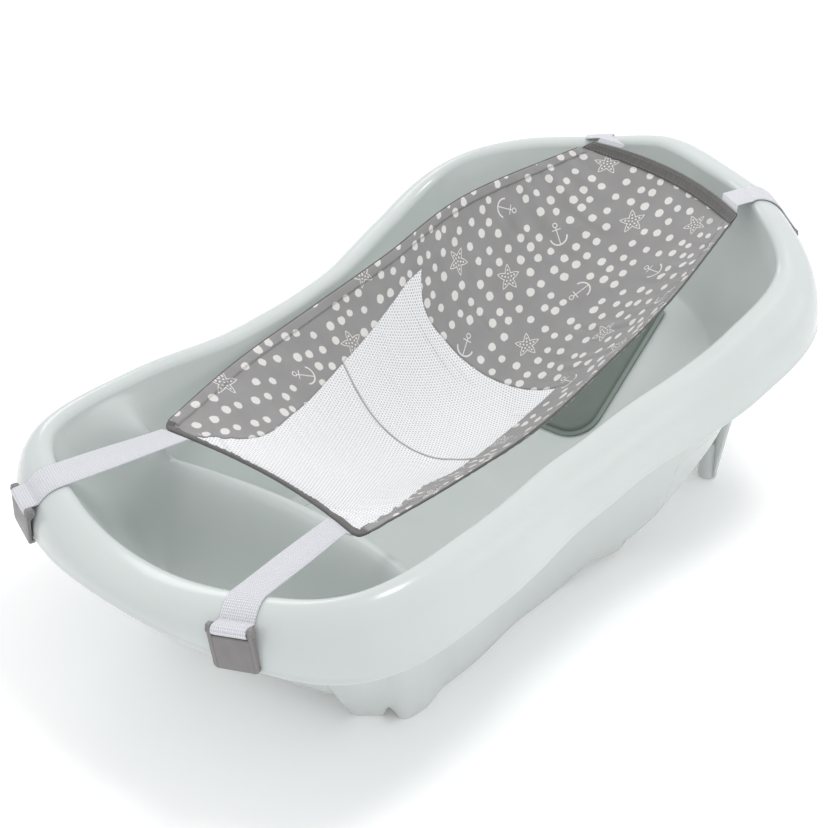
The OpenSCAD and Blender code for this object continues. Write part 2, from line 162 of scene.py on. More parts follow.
class Shader:
    """A principled material under construction."""

    def __init__(self, name, colour, roughness, **inputs):
        self.material = bpy.data.materials.new(name)
        self.material.use_nodes = True
        self.tree = self.material.node_tree
        self.bsdf = self.tree.nodes["Principled BSDF"]
        self.bsdf.inputs["Base Color"].default_value = colour
        self.bsdf.inputs["Roughness"].default_value = roughness
        for key, value in inputs.items():
            self.bsdf.inputs[key.replace("_", " ")].default_value = value

    def add(self, kind):
        return self.tree.nodes.new(kind)

    def link(self, a, b):
        self.tree.links.new(a, b)

    def uv(self, layer):
        node = self.add("ShaderNodeUVMap")
        node.uv_map = layer
        return node.outputs[0]

    def place(self):
        return self.add("ShaderNodeTexCoord").outputs["Object"]

    def split(self, vector):
        node = self.add("ShaderNodeSeparateXYZ")
        self.link(vector, node.inputs[0])
        return [Value(self, s) for s in node.outputs]

    def noise(self, vector, scale, detail=2.0, roughness=0.5):
        node = self.add("ShaderNodeTexNoise")
        self.link(vector, node.inputs["Vector"])
        node.inputs["Scale"].default_value = scale
        node.inputs["Detail"].default_value = detail
        node.inputs["Roughness"].default_value = roughness
        return Value(self, node.outputs["Fac"])

    def mix(self, share, a, b):
        """A colour between a and b; either may be a fixed colour or a socket."""
        node = self.add("ShaderNodeMix")
        node.data_type = "RGBA"
        self.link(share.socket, node.inputs[0])
        for item, socket in ((a, node.inputs[6]), (b, node.inputs[7])):
            if isinstance(item, tuple):
                socket.default_value = item
            else:
                self.link(item, socket)
        return node.outputs[2]

    def colour(self, socket):
        self.link(socket, self.bsdf.inputs["Base Color"])

    def roughness(self, value):
        self.link(value.socket, self.bsdf.inputs["Roughness"])

    def alpha(self, value):
        self.link(value.socket, self.bsdf.inputs["Alpha"])

    def bump(self, height, distance, strength=1.0):
        node = self.add("ShaderNodeBump")
        node.inputs["Distance"].default_value = distance
        node.inputs["Strength"].default_value = strength
        self.link(height.socket, node.inputs["Height"])
        self.link(node.outputs[0], self.bsdf.inputs["Normal"])


# ---------------------------------------------------------------- materials

def floor_material():
    s = Shader("floor", srgb(252, 252, 252), 0.6, Emission_Strength=0.14)
    s.bsdf.inputs["Emission Color"].default_value = (1, 1, 1, 1)
    s.colour(s.mix(s.noise(s.place(), 3), srgb(251, 251, 251), srgb(253, 253, 253)))
    return s.material


def tub_material():
    """Glossy moulded polypropylene, pale mint and a little translucent with green scattering furthest, with fine
    scuffs.
    """
    s = Shader("tub_plastic", srgb(219, 225, 222), 0.22, IOR=1.48, Subsurface_Weight=0.12,
               Subsurface_Scale=0.006, Coat_Weight=0.25, Coat_Roughness=0.12)
    s.bsdf.inputs["Subsurface Radius"].default_value = (0.8, 1.0, 0.9)
    place = s.place()
    cloudy = s.noise(place, 9, 3)
    s.colour(s.mix(cloudy, srgb(200, 206, 204), srgb(208, 213, 211)))
    grain = s.noise(place, 900, 2)
    scuff = s.noise(place, 60, 6, 0.7)
    s.roughness(scuff * 0.16 + 0.15)
    s.bump(grain + cloudy * 4, 0.00012, 0.5)
    return s.material


def foam_material():
    """Closed-cell foam: matt, with fine pits."""
    # Base colour and mottled colours below: the foam's own grey, darkened with painted shade from the sling above it.
    s = Shader("pad_foam", srgb(112, 121, 115), 0.85, Sheen_Weight=0.15)
    cells = s.add("ShaderNodeTexVoronoi")
    s.link(s.place(), cells.inputs["Vector"])
    cells.inputs["Scale"].default_value = 900
    depth = Value(s, cells.outputs["Distance"])
    s.colour(s.mix(s.noise(s.place(), 40, 3), srgb(106, 115, 109), srgb(119, 128, 121)))
    s.bump(depth, 0.0003, 0.6)
    return s.material


def edge_material():
    """The pressed rim of the foam pad, paler and smoother than its face."""
    s = Shader("pad_edge", srgb(132, 142, 136), 0.5)
    s.colour(s.mix(s.noise(s.place(), 70, 3), srgb(126, 136, 130), srgb(138, 148, 142)))
    return s.material


def rubber_material():
    s = Shader("plug_rubber", srgb(196, 208, 203), 0.5)
    grain = s.noise(s.place(), 500, 3)
    s.colour(s.mix(s.noise(s.place(), 60, 2), srgb(190, 203, 198), srgb(203, 214, 209)))
    s.bump(grain, 0.0001, 0.6)
    return s.material


def clip_material():
    """Satin grey nylon with a light moulding texture, paler in patches along its edges."""
    s = Shader("clip_nylon", srgb(128, 125, 125), 0.42)
    place = s.place()
    edge = s.add("ShaderNodeBevel")
    edge.inputs["Radius"].default_value = 0.0012
    geometry = s.add("ShaderNodeNewGeometry")
    dot = s.add("ShaderNodeVectorMath")
    dot.operation = "DOT_PRODUCT"
    s.link(edge.outputs[0], dot.inputs[0])
    s.link(geometry.outputs["Normal"], dot.inputs[1])
    # Edges, found where the bevelled normal turns from the face's normal, turn paler in noisy patches.
    pale_edge = (Value(s, dot.outputs["Value"]).flip() * 5).low(1.0) * s.noise(place, 300, 3)
    plain = s.mix(s.noise(place, 80, 3), srgb(120, 117, 117), srgb(136, 133, 132))
    s.colour(s.mix(pale_edge, plain, srgb(176, 173, 170)))
    s.roughness(s.noise(place, 140, 4) * 0.25 + 0.3)
    s.bump(s.noise(place, 1600, 2), 0.00006, 0.7)
    return s.material


def stay_material():
    s = Shader("stay_plastic", srgb(232, 232, 232), 0.35)
    s.colour(s.mix(s.noise(s.place(), 120, 2), srgb(226, 226, 226), srgb(238, 238, 238)))
    return s.material


WEAVE = 2 * math.pi / 0.0011       # turns of the cloth's weave per metre


def weave(across, along, turns):
    """Height of a plain weave."""
    return (across * turns).sin() * (along * turns).sin()


def star(x, y, size, line):
    """1 on the outline and the pips of a five-armed star."""
    radius = (x * x + y * y).sqrt()
    arm = ((y.arctan(x) * (5 / (2 * math.pi)) + 10.0).fraction() - 0.5).abs() * 2
    edge = arm.power(1.5) * (0.56 * size) + 0.4 * size
    outline = (radius - edge).abs().below(line * 1.5, line * 0.6)
    aside = arm.flip() * radius * (math.pi / 5)
    pips = None
    for place in (0.28, 0.55):
        away = ((radius - place * size).power(2.0) + aside * aside).sqrt()
        pip = away.below(0.075 * size, line * 0.6)
        pips = pip if pips is None else pips.high(pip)
    return outline.high(pips).high(radius.below(0.07 * size, line * 0.6))


def anchor(x, y, size, line):
    """1 on a plain anchor: ring, shank, bar and arms."""
    ring = ((x * x + (y - 0.78 * size).power(2.0)).sqrt() - 0.17 * size).abs().below(line, line * 0.5)
    shank = x.abs().below(line, line * 0.5) * (y + 0.08 * size).abs().below(0.7 * size, line * 0.5)
    bar = (y - 0.42 * size).abs().below(line, line * 0.5) * x.abs().below(0.36 * size, line * 0.5)
    hull = (x * x + (y + 0.08 * size).power(2.0)).sqrt()
    arms = (hull - 0.68 * size).abs().below(line * 1.6, line * 0.5) * y.below(-0.16 * size, line)
    return ring.high(shank).high(bar).high(arms)


MOTIF_SIZE, MOTIF_LINE = 0.0125, 0.00045
DOT_PITCH, DOT_RADIUS = 0.0158, 0.0038


def print_mask(s):
    """Share of the white print: hand-drawn dots, with stars and anchors in cleared places."""
    flat = s.uv("flat")
    dots = s.add("ShaderNodeTexVoronoi")
    dots.voronoi_dimensions = "2D"
    dots.inputs["Scale"].default_value = 1 / DOT_PITCH
    dots.inputs["Randomness"].default_value = 0.42
    s.link(flat, dots.inputs["Vector"])
    centre = s.add("ShaderNodeVectorMath")
    centre.operation = "SUBTRACT"
    s.link(dots.outputs["Position"], centre.inputs[0])
    s.link(flat, centre.inputs[1])
    shift = s.split(centre.outputs[0])
    tint = s.split(dots.outputs["Color"])
    wobble = s.noise(flat, 260, 2) * 0.0016
    radius = (shift[0] * shift[0] + shift[1] * shift[1]).sqrt() + wobble
    size = tint[0] * 0.0009 + (DOT_RADIUS + 0.0003)
    dot = (radius - size).below(0.0, 0.0005)
    local = s.split(s.uv("motif"))
    reach = ((local[0] + shift[0]).power(2.0) + (local[1] + shift[1]).power(2.0)).sqrt()
    dot = dot * reach.below(0.0165, 0.0002).flip()
    turning = s.split(s.uv("turn"))
    c, n = turning[0].cos(), turning[0].sin()
    x = local[0] * c + local[1] * n
    y = local[1] * c - local[0] * n
    figure = star(x, y, MOTIF_SIZE, MOTIF_LINE) * turning[1] \
        + anchor(x, y, MOTIF_SIZE, MOTIF_LINE) * turning[1].flip()
    return dot.high(figure)


def cloth_material():
    """Printed woven polyester."""
    s = Shader("printed_cloth", srgb(158, 156, 156), 0.78, Sheen_Weight=0.25, Sheen_Roughness=0.4)
    flat = s.uv("flat")
    x, y, _ = s.split(flat)
    threads = weave(x, y, WEAVE)
    mottled = s.noise(flat, 40, 4)
    ground = s.mix(mottled, srgb(150, 147, 147), srgb(168, 166, 167))
    ground = s.mix(threads * 0.12 + 0.12, ground, srgb(120, 118, 118))
    ink = s.mix(mottled, srgb(226, 221, 217), srgb(240, 237, 234))
    s.colour(s.mix(print_mask(s), ground, ink))
    s.bump(threads + s.noise(flat, 300, 3) * 1.5, 0.00016, 0.7)
    return s.material


def plain_cloth_material(name, dark, light, turns=WEAVE, rough=0.8):
    """Woven tape or thread, without print."""
    s = Shader(name, dark, rough, Sheen_Weight=0.2)
    flat = s.uv("flat")
    x, y, _ = s.split(flat)
    threads = weave(x, y, turns)
    s.colour(s.mix(s.noise(flat, 160, 4) * 0.7 + threads * 0.3, dark, light))
    s.bump(threads + s.noise(flat, 500, 2), 0.00018, 0.8)
    return s.material


HOLE_PITCH = 0.0026


def mesh_material():
    """Open knitted mesh: rows of small holes between soft white threads."""
    s = Shader("knit_mesh", srgb(238, 237, 239), 0.7, Sheen_Weight=0.3)
    x, y, _ = s.split(s.uv("flat"))
    row = x * (1 / HOLE_PITCH)
    column = y * (1 / (HOLE_PITCH * 1.15)) + (row - row.fraction()) * 0.5
    dx = row.fraction() - 0.5
    dy = column.fraction() - 0.5
    radius = (dx * dx + dy * dy).sqrt()
    hole = radius.below(0.27, 0.1)
    thread = (radius * math.pi).sin()
    # Holes are partly see-through, and also painted a grey that is painted shade for the shaded tub seen through
    # them.
    s.colour(s.mix(hole, srgb(240, 239, 241), srgb(205, 207, 208)))
    s.alpha((hole * 0.55).flip())
    s.bump(thread + s.noise(s.uv("flat"), 400, 2) * 0.3, 0.0005, 0.8)
    return s.material


RIB = 0.0016


def webbing_material():
    """Heavy white webbing: ribs along its length and a herringbone of coarse threads."""
    s = Shader("webbing", srgb(236, 236, 242), 0.62, Sheen_Weight=0.35)
    x, y, _ = s.split(s.uv("flat"))
    ribs = (x * (math.pi / RIB)).sin().abs()
    picks = ((y * (2 * math.pi / 0.0019)) + ribs * 1.6).sin()
    height = ribs * 0.8 + picks * 0.5
    # Colour follows the relief: painted shade in the grooves between ribs, painted highlight on the rib tops.
    s.colour(s.mix((height * 0.5 + 0.2).high(0.0).low(1.0), srgb(204, 204, 212), srgb(246, 246, 250)))
    s.bump(height + s.noise(s.uv("flat"), 900, 2) * 0.4, 0.00045, 0.9)
    return s.material


# ---------------------------------------------------------------- mesh helpers

def new_object(name, verts, faces, material):
    """A smooth mesh object from points in mm."""
    mesh = bpy.data.meshes.new(name)
    mesh.from_pydata([tuple(v) for v in verts * MM], [], [tuple(int(i) for i in f) for f in faces])
    mesh.validate()
    mesh.update()
    if material:
        mesh.materials.append(material)
    mesh.polygons.foreach_set("use_smooth", [True] * len(mesh.polygons))
    piece = bpy.data.objects.new(name, mesh)
    bpy.context.scene.collection.objects.link(piece)
    return piece


def ring_faces(rings, sides, start=0):
    """Quads between closed rings of points, ring after ring."""
    i = np.arange(sides)
    j = (i + 1) % sides
    rows = [np.stack([a + i, b + i, b + j, a + j], 1)
            for a, b in ((start + k * sides, start + (k + 1) * sides) for k in range(rings - 1))]
    return np.concatenate(rows)


def tube(rings, closed_ends=True):
    """Points and faces of a skin over closed rings, given as an array of rings by points by 3."""
    count, sides, _ = rings.shape
    faces = ring_faces(count, sides).tolist()
    if closed_ends:
        faces.append(list(range(sides)))
        faces.append([(count - 1) * sides + k for k in reversed(range(sides))])
    return rings.reshape(-1, 3), faces


def join(*skins):
    """One skin out of several, each given as its points and faces."""
    points, faces, first = [], [], 0
    for verts, quads in skins:
        points.append(verts)
        faces += [[first + k for k in face] for face in quads]
        first += len(verts)
    return np.concatenate(points), faces


def circle(sides):
    """Points of a level unit circle."""
    a = np.arange(sides) * 2 * math.pi / sides
    return np.stack([np.cos(a), np.sin(a), 0 * a], -1)


def lathe(x, y, profile, sides=64, closed_ends=True):
    """A skin turned about an upright axis at (x, y), from places given as radius and height."""
    return tube(np.array([[x, y, z] + r * circle(sides) for r, z in profile]), closed_ends)


def grid_faces(rows, columns):
    """Quads over a grid of points."""
    i, j = np.meshgrid(np.arange(rows - 1), np.arange(columns - 1), indexing="ij")
    a = (i * columns + j).ravel()
    return np.stack([a, a + columns, a + columns + 1, a + 1], 1)


def outward_faces(piece):
    """Turns all of a closed mesh's faces outward."""
    bm = bmesh.new()
    bm.from_mesh(piece.data)
    bmesh.ops.recalc_face_normals(bm, faces=bm.faces)
    bm.to_mesh(piece.data)
    bm.free()


def put_uv(piece, layer, per_vertex):
    """Stores a pair of numbers for each vertex as a UV layer."""
    mesh = piece.data
    corners = np.empty(len(mesh.loops), int)
    mesh.loops.foreach_get("vertex_index", corners)
    mesh.uv_layers.new(name=layer).data.foreach_set("uv", np.asarray(per_vertex, float)[corners].ravel())


def put_flat(piece, across, along):
    """UV layer of flat places for a skin over rings: mm across each ring, and along the rings."""
    place = np.stack(np.broadcast_arrays(across[None, :], along[:, None]), -1)
    put_uv(piece, "flat", place.reshape(-1, 2) * MM)


def add_modifier(piece, kind, **settings):
    modifier = piece.modifiers.new(kind.lower(), kind)
    for key, value in settings.items():
        setattr(modifier, key, value)
    return modifier


def apply_modifiers(piece):
    """Replaces the mesh by what its modifiers make of it."""
    graph = bpy.context.evaluated_depsgraph_get()
    made = bpy.data.meshes.new_from_object(piece.evaluated_get(graph))
    piece.modifiers.clear()
    piece.data = made


def finish_piece(piece, body, slot, *nodes):
    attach(piece, body)
    if nodes:
        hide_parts(*nodes)


def unit(v):
    return v / np.linalg.norm(v, axis=-1, keepdims=True)


def run_length(points):
    """Distance along a line of points, at each of them."""
    return np.concatenate([[0], np.cumsum(np.linalg.norm(np.diff(points, axis=0), axis=1))])


def spline(table, place):
    """Catmull-Rom value of a table at places counted in its steps, with straight ends."""
    t = np.asarray(table, float)
    n = len(t) - 1
    ext = np.concatenate([[2 * t[0] - t[1]], t, [2 * t[-1] - t[-2]]])
    place = np.clip(np.asarray(place, float), 0, n)
    i = np.minimum(place.astype(int), n - 1)
    f = (place - i).reshape(place.shape + (1,) * (t.ndim - 1))
    p, q, r, s = ext[i], ext[i + 1], ext[i + 2], ext[i + 3]
    return q + 0.5 * f * (r - p + f * (2 * p - 5 * q + 4 * r - s + f * (3 * (q - r) + s - p)))


# ---------------------------------------------------------------- the tub's shell

LENGTH_SCALE = (cad_high.x - cad_low.x) / (740 * MM)
WALL, FOOT_FLOOR, SEAT_FLOOR = 3.0, 18.0, 8.0
RECLINE_SLOPE, RECLINE_START = math.tan(math.radians(34)), 75.0
RIDGE_TOP, RIDGE_HALF, FOOT_LIMIT = 100.0, 27.0, -175.0
LIP_RADIUS = [370, 352, 328, 311, 254, 214, 198, 203, 226, 284, 361, 370, 370]
CREST_HEIGHT = [280, 271, 263, 237, 207, 189, 182, 177, 175, 176, 172, 157, 148]
RIM_WIDTH = [50, 36, 31, 27, 27, 24, 26]
RIM_DROP = [57, 58, 50, 42, 42, 47, 18]
BASE_SHARE = [0.93, 0.92, 0.84, 0.79, 0.787, 0.775, 0.775]
THROAT, SKIRT_GAP = 8.0, 4.0
DRAIN_X, DRAIN_BORE = -245.0, 26.0
# Lower edge of the side wall: degrees from the head end, and height
SKIRT = [(0, 146), (10, 135), (20, 125), (22, 95), (24, 55), (25.5, 18), (26.5, 4), (27.8, 0), (34, 0), (35.2, 3),
         (36.3, 20), (37.3, 55), (39, 86), (42, 98), (50, 96), (58.8, 84), (61, 81), (63.2, 75), (64.3, 64),
         (64.9, 50), (65.1, 34), (66.5, 27), (69.2, 23), (73.2, 17), (74.4, 8), (76, 5), (80, 6), (84.5, 10),
         (91, 5), (97, 1), (102, 0), (146.6, 0), (147.4, 3), (148.2, 11), (149.1, 14), (150.0, 9), (150.7, 2),
         (151.5, 0), (157, 0), (158.4, 8), (159.6, 40), (161, 66), (164, 72), (172, 60), (180, 50)]
# Columns of the legs stand proud of the side wall: middle and half width in degrees, and depth at the ground
COLUMNS = [(152.6, 4.0, -3.0), (143.4, 3.6, 10.5), (30.5, 5.0, 4.0)]
POSTS = [(-220, 97, 15, 21), (-192, 115, 12, 24), (219, 137, 9, 40)]        # x, y, radius and height
RAIL_START, RAIL_END, RAIL_SIDE, RAIL_HALF = -190, 37, 117, 4.5
BEAD, BEAD_DROP, BEAD_IN = 1.9, 1.6, 1.1    # rounded bead along the lip
STATIONS = 480


def mirrored(table, turn):
    """Value of a rim table at turns in degrees; the table runs from 0 to 180 and is mirrored."""
    t = np.asarray(table, float)
    n = len(t) - 1
    u = np.abs((np.asarray(turn, float) + 180) % 360 - 180) * n / 180
    i = np.minimum(u.astype(int), n - 1)
    f = u - i
    p, q, r, s = t[np.abs(i - 1)], t[i], t[i + 1], t[np.where(i + 2 > n, 2 * n - i - 2, i + 2)]
    return q + 0.5 * f * (r - p + f * (2 * p - 5 * q + 4 * r - s + f * (3 * (q - r) + s - p)))


def lip_point(turn):
    r, a = mirrored(LIP_RADIUS, turn), np.radians(turn)
    return np.stack([LENGTH_SCALE * r * np.cos(a), r * np.sin(a)], -1)


def outward(turn):
    d = lip_point(turn + 1) - lip_point(turn - 1)
    return unit(np.stack([d[..., 1], -d[..., 0]], -1))


def rim_point(turn, x, z):
    """A point of the rim's section: out from the crest by x and up by z."""
    flat = lip_point(turn) + (x - mirrored(RIM_WIDTH, turn))[..., None] * outward(turn)
    return np.concatenate([flat, (mirrored(CREST_HEIGHT, turn) + z)[..., None]], -1)


def roll(turn, over, inset):
    """The outer roll of the rim, from the crest at 0 to the lip at 90 degrees."""
    w, h = mirrored(RIM_WIDTH, turn) - inset, mirrored(RIM_DROP, turn) - inset
    o = math.radians(over)
    return rim_point(turn, w * math.sin(o), -inset - h * (1 - math.cos(o)))


def throat(turn, over, inset):
    r, o = THROAT - inset, math.radians(over)
    zero = 0 * np.asarray(turn, float)
    return rim_point(turn, zero - r * math.sin(o), zero - THROAT + r * math.cos(o))


def ridge_line(y):
    return FOOT_LIMIT - 46 * (np.abs(y) / 150) ** 2.5


def floor_z(x, y):
    level = np.where(x < ridge_line(y), FOOT_FLOOR, SEAT_FLOOR)
    slope = SEAT_FLOOR + (x - RECLINE_START) * RECLINE_SLOPE
    ground = (level + slope + np.sqrt((level - slope) ** 2 + 14.0 ** 2)) / 2
    top = RIDGE_TOP + 22 * (np.abs(y) / 150) ** 3
    rise = np.exp(-(np.abs(x - ridge_line(y)) / RIDGE_HALF) ** 2.2)
    return ground + (top - ground) * rise


def inside(turn, share, climb):
    top = throat(turn, 90, 0)
    x, y = share * top[:, 0], share * top[:, 1]
    z = floor_z(x, y)
    return np.stack([x, y, z + (top[:, 2] - z) * climb], -1)


def ridge_share(turn):
    """Share of the way over the floor at which a ray meets the ridge, near the foot end."""
    way = throat(turn, 90, 0) * mirrored(BASE_SHARE, turn)[:, None]
    reaches = way[:, 0] < -120
    x = np.where(reaches, way[:, 0], -1.0)
    guess = np.where(reaches, FOOT_LIMIT / x, 1)
    return np.minimum(np.where(reaches, ridge_line(guess * way[:, 1]) / x, 1), 0.9)


def on_floor(turn, t):
    """The floor from the middle at t 0 to the wall's base at 1, with rows crowded at the ridge."""
    r = ridge_share(turn)
    split = 0.6
    inner = r * (1 - (1 - min(t / split, 1)) ** 1.6)
    outer = (1 - r) * max((t - split) / (1 - split), 0) ** 1.2
    return inside(turn, (inner + outer) * mirrored(BASE_SHARE, turn), 0)


def on_wall(turn, part):
    base, curve = mirrored(BASE_SHARE, turn), 0.2
    climb = (math.sqrt(part * part + curve * curve) - curve) / (math.sqrt(1 + curve * curve) - curve)
    return inside(turn, base + part * (1 - base), climb)


def skirt_height(turn):
    """Lower edge of the side wall, eased between its given heights."""
    a = np.abs((turn + 180) % 360 - 180)
    at, height = np.array(SKIRT, float).T
    i = np.clip(np.searchsorted(at, a, side="right") - 1, 0, len(at) - 2)
    f = (a - at[i]) / (at[i + 1] - at[i])
    return height[i] + (height[i + 1] - height[i]) * f * f * (3 - 2 * f)


def wall_line(turn, z, set_in=0.0):
    """Outside of the side wall at a height: a straight taper from the rim's throat down to the ground."""
    top = throat(turn, 90, WALL)
    way = throat(turn, 90, 0)[:, :2]
    a = np.abs((turn + 180) % 360 - 180)
    proud = sum(depth * np.exp(-np.abs((a - middle) / half) ** 4) for middle, half, depth in COLUMNS)
    low = mirrored(BASE_SHARE, turn)[:, None] * way + (SKIRT_GAP + proud)[:, None] * unit(way)
    climb = (z / top[:, 2])[:, None]
    flat = low + (top[:, :2] - low) * climb - set_in * unit(way)
    return np.concatenate([flat, (0 * turn + z)[:, None]], -1)


def skirt_edge(turn, set_in, up=0.0):
    return wall_line(turn, skirt_height(turn) + up, set_in)


def outer_wall(turn, part):
    """Down from the rim's throat to the wall's lower edge."""
    top, low = throat(turn, 90, WALL)[:, 2], skirt_height(turn) + 1.4
    return wall_line(turn, top + part * (low - top))


def under_wall(turn, part):
    """From the wall's lower edge, at 1, down round the outside of the basin to the under-floor, at 0."""
    low, high = on_floor(turn, 1) - np.array([0, 0, WALL]), skirt_edge(turn, WALL, 1.4)
    straight = low + part * (high - low)
    top, floor = throat(turn, 90, 0)[:, 2], low[:, 2] + WALL
    share = np.clip((high[:, 2] - floor) / (top - floor), 0, 1)
    curve = 0.2
    reach = np.sqrt(np.maximum((share * (math.sqrt(1 + curve ** 2) - curve) + curve) ** 2 - curve ** 2, 0)) * part
    climb = (np.sqrt(reach ** 2 + curve ** 2) - curve) / (math.sqrt(1 + curve ** 2) - curve)
    base = mirrored(BASE_SHARE, turn)
    way = throat(turn, 90, 0)[:, :2]
    flat = (base + reach * (1 - base))[:, None] * way + 2.2 * part * unit(way)
    hug = np.concatenate([flat, (floor + (top - floor) * climb - WALL * (1 - part))[:, None]], -1)
    weight = np.clip((high[:, 2] - floor) / 20, 0, 1)[:, None]
    return straight + weight * (hug - straight)


def shell_rings(turn):
    rings = [on_floor(turn, t) for t in np.linspace(0, 1, 61)[1:]]
    rings += [on_wall(turn, p) for p in np.linspace(0, 1, 25)[1:]]
    rings += [throat(turn, t, 0) for t in range(80, 0, -10)]
    rings += [roll(turn, t, 0) for t in np.linspace(0, 90, 27)]
    lip = roll(turn, 90, 0)
    side = np.concatenate([outward(turn), 0 * turn[:, None]], -1)
    for angle in range(0, 181, 30):              # a rounded bead along the lip
        a = math.radians(angle)
        down = np.array([0, 0, BEAD_DROP + BEAD * math.sin(a)])
        rings.append(lip - side * BEAD_IN + np.cos(a) * side * BEAD - down)
    rings += [roll(turn, t, WALL) for t in np.linspace(88, 0, 16)]
    rings += [throat(turn, t, WALL) for t in (30, 60, 90)]
    rings += [outer_wall(turn, p) for p in np.linspace(0, 1, 15)[1:]]
    rings += [skirt_edge(turn, set_in, up) for set_in, up in ((0.4, 0.4), (1.5, 0), (2.6, 0.4), (WALL, 1.4))]
    rings += [under_wall(turn, p) for p in np.linspace(1, 0, 11)[1:-1]]
    rings += [on_floor(turn, t) - np.array([0, 0, WALL]) for t in np.linspace(1, 0, 41)[:-1]]
    return np.array(rings)


def rounded_post(x, y, radius, height):
    """A foot: a short round column with a rounded lower edge."""
    return lathe(x, y, [(0.01, 0), (radius - 2.5, 0), (radius - 0.8, 0.7), (radius, 2.5), (radius, height)], 40)


def rail(side):
    """A runner under the seat floor, narrower where it stands."""
    outline = [(-1, 9), (-1, 1.2), (-1, 0), (1, 0), (1, 1.2), (1, 9)]
    stations = (RAIL_START, RAIL_START + 2, RAIL_END - 2, RAIL_END)
    return tube(np.array([[(x, side * RAIL_SIDE + w * RAIL_HALF * (1 if z > 1 else 0.75), z) for w, z in outline]
                          for x in stations], float))


def cut_drain(tub):
    """Bores the drain through the floor and lines the bore with a raised seat ring."""
    bore = DRAIN_BORE / 2
    cutter = new_object("drain_cutter", *lathe(DRAIN_X, 0, [(bore + 0.4, 8.03), (bore + 0.4, 27.03)]), None)
    outward_faces(cutter)
    add_modifier(tub, "BOOLEAN", object=cutter, operation="DIFFERENCE", solver="FAST")
    apply_modifiers(tub)
    bpy.data.objects.remove(cutter)
    ring = [(0.0, 14.8), (0.0, 18.7), (0.4, 19.1), (3.9, 19.1), (4.4, 18.6), (4.6, 17.4), (2.0, 17.0), (2.0, 14.8),
            (0.5, 14.4)]
    sides = 64
    verts, faces = lathe(DRAIN_X, 0, [(bore + r, z) for r, z in ring], sides, closed_ends=False)
    first = (len(ring) - 1) * sides
    faces += [[first + k, k, (k + 1) % sides, first + (k + 1) % sides] for k in range(sides)]
    bm = bmesh.new()
    bm.from_mesh(tub.data)
    corners = [bm.verts.new(tuple(v * MM)) for v in verts]
    for face in faces:
        bm.faces.new([corners[k] for k in face]).smooth = True
    bmesh.ops.recalc_face_normals(bm, faces=bm.faces)
    bm.to_mesh(tub.data)
    bm.free()
    tub.data.set_sharp_from_angle(angle=math.radians(62))


def make_tub(material):
    rings = shell_rings(np.arange(STATIONS) * 360 / STATIONS)
    z = float(floor_z(np.array(0.0), np.array(0.0)))
    points = np.concatenate([rings.reshape(-1, 3), [[0, 0, z], [0, 0, z - WALL]]])
    first, last, end = len(points) - 2, len(points) - 1, (len(rings) - 1) * STATIONS
    faces = ring_faces(len(rings), STATIONS).tolist()
    faces += [[first, i, (i + 1) % STATIONS] for i in range(STATIONS)]
    faces += [[last, end + (i + 1) % STATIONS, end + i] for i in range(STATIONS)]
    skins = [(points, faces)]
    for side in (-1, 1):
        skins += [rounded_post(x, side * y, radius, height) for x, y, radius, height in POSTS]
        skins.append(rail(side))
    tub = new_object("tub_moulding", *join(*skins), material)
    outward_faces(tub)
    cut_drain(tub)
    finish_piece(tub, "tub", "tub", "tub_shell")


# ---------------------------------------------------------------- the sling's surface

NEAR_EDGE = [[-228, -95, 148], [-133, -102, 148], [-38, -112, 158], [58, -112, 175], [150, -116, 203],
             [233, -127, 258]]
FAR_EDGE = [[-214, 127, 148], [-116, 146, 160], [-18, 149, 176], [80, 146, 196], [178, 129, 231],
            [274, 50, 277]]
SAG = 96 * np.array([0.05, 0.47, 0.85, 1, 0.65, 0])
BOW = [16, 4, 0, 0, 6, 22]
NEAR_SEAM = [-0.96, -0.82, -0.56, -0.4, -0.33, -0.44]      # over u from 0 to 0.7
FAR_SEAM = [0.78, 0.54, 0.6, 0.71, 0.79, 0.87]             # over u from 0 to 0.62
BACK_SEAM = [0.7, 0.69, 0.675, 0.665, 0.655, 0.645, 0.635, 0.632, 0.7]     # over v from -1 to 1
MID_SEAM = [0.445, 0.435, 0.413, 0.402, 0.397, 0.4, 0.408]                 # over v from -0.5 to 0.8
CORNER = 9.0                # radius of the sling's corners at the foot
GRID = (121, 81)
SLACK, SETTLE_FRAMES, MOST_SHIFT = 0.016, 18, 7
SLING_HALF, SLING_LENGTH = 112.0, 505.0


def taut(u, v):
    """The sling pulled taut, at u from the foot to the head and v from the near to the far edge."""
    u, v = np.broadcast_arrays(np.asarray(u, float), np.asarray(v, float))
    near, far = spline(NEAR_EDGE, u * 5), spline(FAR_EDGE, u * 5)
    place = (1 - v)[..., None] / 2 * near + (1 + v)[..., None] / 2 * far
    hang = np.stack([spline(BOW, u * 5) * (1 - v * v), 0 * u, -spline(SAG, u * 5) * (1 - np.abs(v) ** 2.2)], -1)
    return place + hang


def sample(grid, u, v):
    """Bicubic value of a grid over u from 0 to 1 and v from -1 to 1."""
    u, v = np.broadcast_arrays(np.asarray(u, float), np.asarray(v, float))
    parts = []
    for place, n in ((np.clip(u, 0, 1) * (grid.shape[0] - 1), grid.shape[0]),
                     ((np.clip(v, -1, 1) + 1) / 2 * (grid.shape[1] - 1), grid.shape[1])):
        i = np.clip(np.floor(place).astype(int), 0, n - 2)
        f = place - i
        share = [-0.5 * f + f * f - 0.5 * f ** 3, 1 - 2.5 * f * f + 1.5 * f ** 3,
                 0.5 * f + 2 * f * f - 1.5 * f ** 3, -0.5 * f * f + 0.5 * f ** 3]
        parts.append(([np.clip(i + k, 0, n - 1) for k in (-1, 0, 1, 2)], share))
    (iu, wu), (iv, wv) = parts
    extra = (1,) * (grid.ndim - 2)
    return sum(grid[iu[a], iv[b]] * (wu[a] * wv[b]).reshape(u.shape + extra) for a in range(4) for b in range(4))


def grid_places():
    u, v = np.linspace(0, 1, GRID[0]), np.linspace(-1, 1, GRID[1])
    return np.meshgrid(u, v, indexing="ij")


